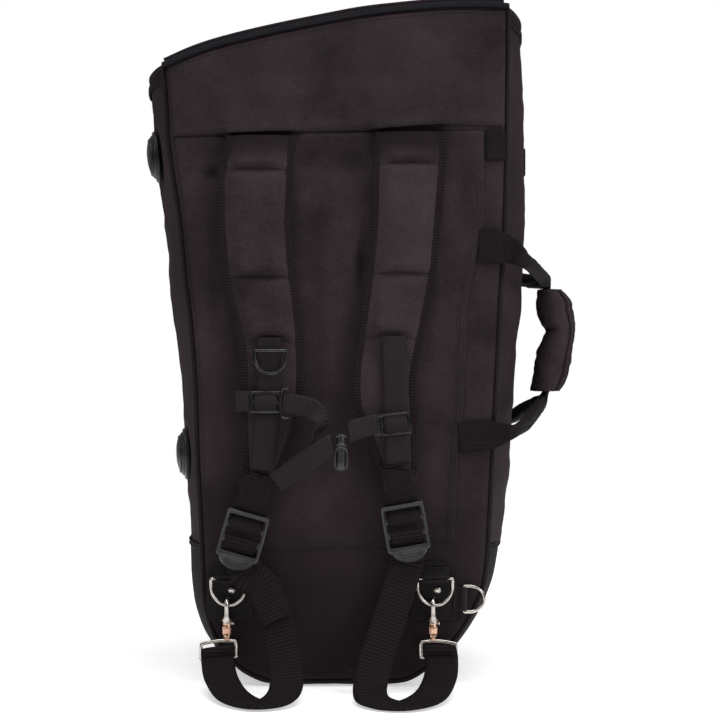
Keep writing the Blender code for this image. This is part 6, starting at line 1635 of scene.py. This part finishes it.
def grip():
    R, K = 110, 64
    G = smooth_line([(x0, x1, z) for z, x0, x1 in GRIP_SHAPE], R)
    z = G[:, 2]
    gl = np.array(GRIP_LINE)[::-1]
    C = np.stack([(G[:, 0] + G[:, 1]) / 2, np.full(R, 15.0), z], 1)
    half = (G[:, 1] - G[:, 0]) / 2
    a = np.linspace(0, 2 * np.pi, K, endpoint=False)
    q = np.linspace(0, 1, R)
    endr = np.sqrt(np.clip(1 - (1 - np.clip(np.minimum(q, 1 - q) / 0.05, 0, 1)) ** 2, 0, 1))
    pinch = np.exp(-((z - 397) / 8) ** 2)
    ca, sa = np.cos(a)[None], np.sin(a)[None]
    P3 = np.stack([C[:, :1] + 20 * ca, C[:, 1:2] + 20 * sa, z[:, None] + 0 * ca], -1)
    soft = wobble(P3, 24, 1.6, 71, (1, 1, 1.6)) + wobble(P3, 10, 0.95, 72, (0.8, 0.8, 1.8))
    folds = 1.7 * pinch[:, None] * np.sin((z[:, None] - 397) / 2.6 + 1.4 * sa) * np.clip(0.4 - ca, 0, 1)
    flap = -2.3 * np.exp(-((np.mod(a, 2 * np.pi) - 5.30) / 0.09) ** 2)[None] + 1.9 * step(np.mod(a, 2 * np.pi), 5.34, 5.48)[None] * (1 - step(np.mod(a, 2 * np.pi), 5.6, 6.28)[None])
    rx = half[:, None] + (soft + folds + flap) * endr[:, None]
    ry = (17.9 + 3.0 * endr)[:, None] + soft * 0.6 * endr[:, None] + flap * endr[:, None]
    outer = np.stack([C[:, :1] + rx * np.sign(ca) * np.abs(ca) ** 0.94, 15.0 + ry * np.sign(sa) * np.abs(sa) ** 0.94, z[:, None] + 0 * ca], -1)
    ix = np.interp(z, gl[:, 2], gl[:, 0])
    rin = np.interp(z, [320, 385, 397, 409, 444], [8.6, 8.6, 6.4, 8.6, 8.6])[:, None]
    inner = np.stack([ix[:, None] + rin * ca, 15.0 + 17.2 * sa + 0 * rin, z[:, None] + 0 * ca], -1)
    V = np.concatenate([outer.reshape(-1, 3), inner.reshape(-1, 3)])
    fo, fi = faces_of(R, K, wrap=True), faces_of(R, K, wrap=True, base=R * K, flip=True)
    ends = []
    for row in (0, R - 1):
        for k in range(K):
            j = (k + 1) % K
            ends.append((row * K + k, R * K + row * K + k, R * K + row * K + j, row * K + j))
    F = np.concatenate([fo, fi, np.array(ends)])
    o = put("handle_grip_padded", V, F, [NYLON_PAD], "handle", "handle_grip", "nylon_shell")
    # folded flap edge with a row of stitches beside it, and the bound ends
    k = int(round(5.40 / (2 * np.pi) * K))
    dirs = unit((outer[:, k] - C) * np.array([1, 1, 0]))
    edge = outer[6:-6, k] + dirs[6:-6] * 0.2
    tube("handle_grip_flap_edge", smooth_line(edge, 140), 0.95, NYLON_PAD, "handle", slot="nylon_shell", sides=10)
    rows = []
    for kk in (k + 2,):
        e = outer[6:-6, kk % K]
        rows.append((e + dirs[6:-6] * 0.3, dirs[6:-6]))
    threads("handle_grip_stitches", rows, THREAD, "handle", pitch=3.2, length=2.3, r=0.4)
    for tag, i in (("top", 5), ("bottom", R - 6)):
        dd_ = unit((outer[i] - C[i]) * np.array([1, 1, 0]))
        tube(f"handle_grip_end_{tag}", outer[i] - dd_ * 0.7, 1.3, NYLON_PAD, "handle", slot="nylon_shell", sides=10, closed=True)


grip()

# ---------------------------------------------------------------- padding inside
def soft_block(name, corners, node, seed, bulge=2.0, n=26):
    """A foam block in lining cloth, from rings of four corners at rising heights."""
    rings = []
    levels = np.linspace(0, 1, 14)
    zs = [c[0] for c in corners]
    for l in levels:
        z = zs[0] + (zs[-1] - zs[0]) * l
        x0, x1, y0, y1 = (np.interp(z, zs, [c[i] for c in corners]) for i in range(1, 5))
        e = math.sqrt(max(0.0, 1 - (abs(2 * l - 1)) ** 8))
        cx, cy = (x0 + x1) / 2, (y0 + y1) / 2
        hx, hy = (x1 - x0) / 2 - 3 * (1 - e), (y1 - y0) / 2 - 3 * (1 - e)
        rings.append(oct_ring(cx, cy, hx - 0.4, hy - 0.4, z, n=48, p=9))
    rings = np.array(rings)
    o = sweep(name, rings, LINING, "root", node, "foam_lining", angle=50)
    return o


soft_block("base_foam_lined", [(23, -52, 50, -98, 98), (36, -76, 72, -100, 100), (62, -104, 98, -102, 104)], "base_foam_block", 81)
lo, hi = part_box("bell_pad")
lo, hi = np.array(lo) / MM, np.array(hi) / MM
nx, nz = 60, 34
u, w = np.linspace(0, 1, nx)[None], np.linspace(0, 1, nz)[:, None]
X = lo[0] + (hi[0] - lo[0]) * (u + 0 * w)
Z = lo[2] + (hi[2] - lo[2]) * (w + 0 * u)
dd = np.minimum(np.minimum(X - lo[0], hi[0] - X), np.minimum(Z - lo[2], hi[2] - Z))
k = np.sqrt(np.clip(1 - (1 - np.clip(dd / 9, 0, 1)) ** 2, 0, 1))
A = np.stack([X, lo[1] + 6 + k * (hi[1] - lo[1] - 6) - 1.0 * np.exp(-((X - 0) / 2.5) ** 2) * k, Z], -1)
B = np.stack([X, np.full_like(X, lo[1]), Z], -1)
shell("bell_pad_lined", A, B, [LINING], "root", "bell_pad", "foam_lining")

# ---------------------------------------------------------------- floor and light
g = Shade("floor_pale")
co = g.coords()
g.wire(g.mix(g.noise(co, 3, 2), (0.90, 0.90, 0.90), (0.93, 0.93, 0.93)), g.b.inputs["Base Color"])
g.set(Roughness=0.9, Specular_IOR_Level=0.1, Emission_Color=(1.0, 1.0, 1.0, 1.0), Emission_Strength=0.5)
bm = bmesh.new()
bmesh.ops.create_grid(bm, x_segments=8, y_segments=8, size=1.55)
me = bpy.data.meshes.new("floor")
bm.to_mesh(me)
bm.free()
me.materials.append(g.m)
floor = bpy.data.objects.new("floor", me)
bpy.context.scene.collection.objects.link(floor)

world = bpy.data.worlds.new("studio")
world.use_nodes = True
wt = world.node_tree
back = wt.nodes["Background"]
back.inputs["Color"].default_value = (1, 1, 1, 1)
back.inputs["Strength"].default_value = 1.0
soft = wt.nodes.new("ShaderNodeBackground")
soft.inputs["Color"].default_value = (1, 1, 1, 1)
soft.inputs["Strength"].default_value = 0.23
seen, pick_ = wt.nodes.new("ShaderNodeLightPath"), wt.nodes.new("ShaderNodeMixShader")
wt.links.new(seen.outputs["Is Camera Ray"], pick_.inputs["Fac"])
wt.links.new(soft.outputs[0], pick_.inputs[1])
wt.links.new(back.outputs[0], pick_.inputs[2])
wt.links.new(pick_.outputs[0], wt.nodes["World Output"].inputs["Surface"])
bpy.context.scene.world = world


def softbox(name, at, look, size, power):
    d = bpy.data.lights.new(name, "AREA")
    d.shape = "RECTANGLE"
    d.size, d.size_y = size
    d.energy = power
    o = bpy.data.objects.new(name, d)
    o.location = at
    o.rotation_euler = (Vector(look) - Vector(at)).to_track_quat("-Z", "Y").to_euler()
    bpy.context.scene.collection.objects.link(o)


softbox("top", (0.22, -0.50, 2.4), (0.04, -0.1, 0.3), (2.4, 2.0), 55)
softbox("right", (1.7, -1.35, 1.2), (0.05, 0, 0.42), (0.9, 1.1), 17)
softbox("left", (-1.7, -1.3, 1.8), (0, 0, 0.6), (1.0, 1.2), 8)
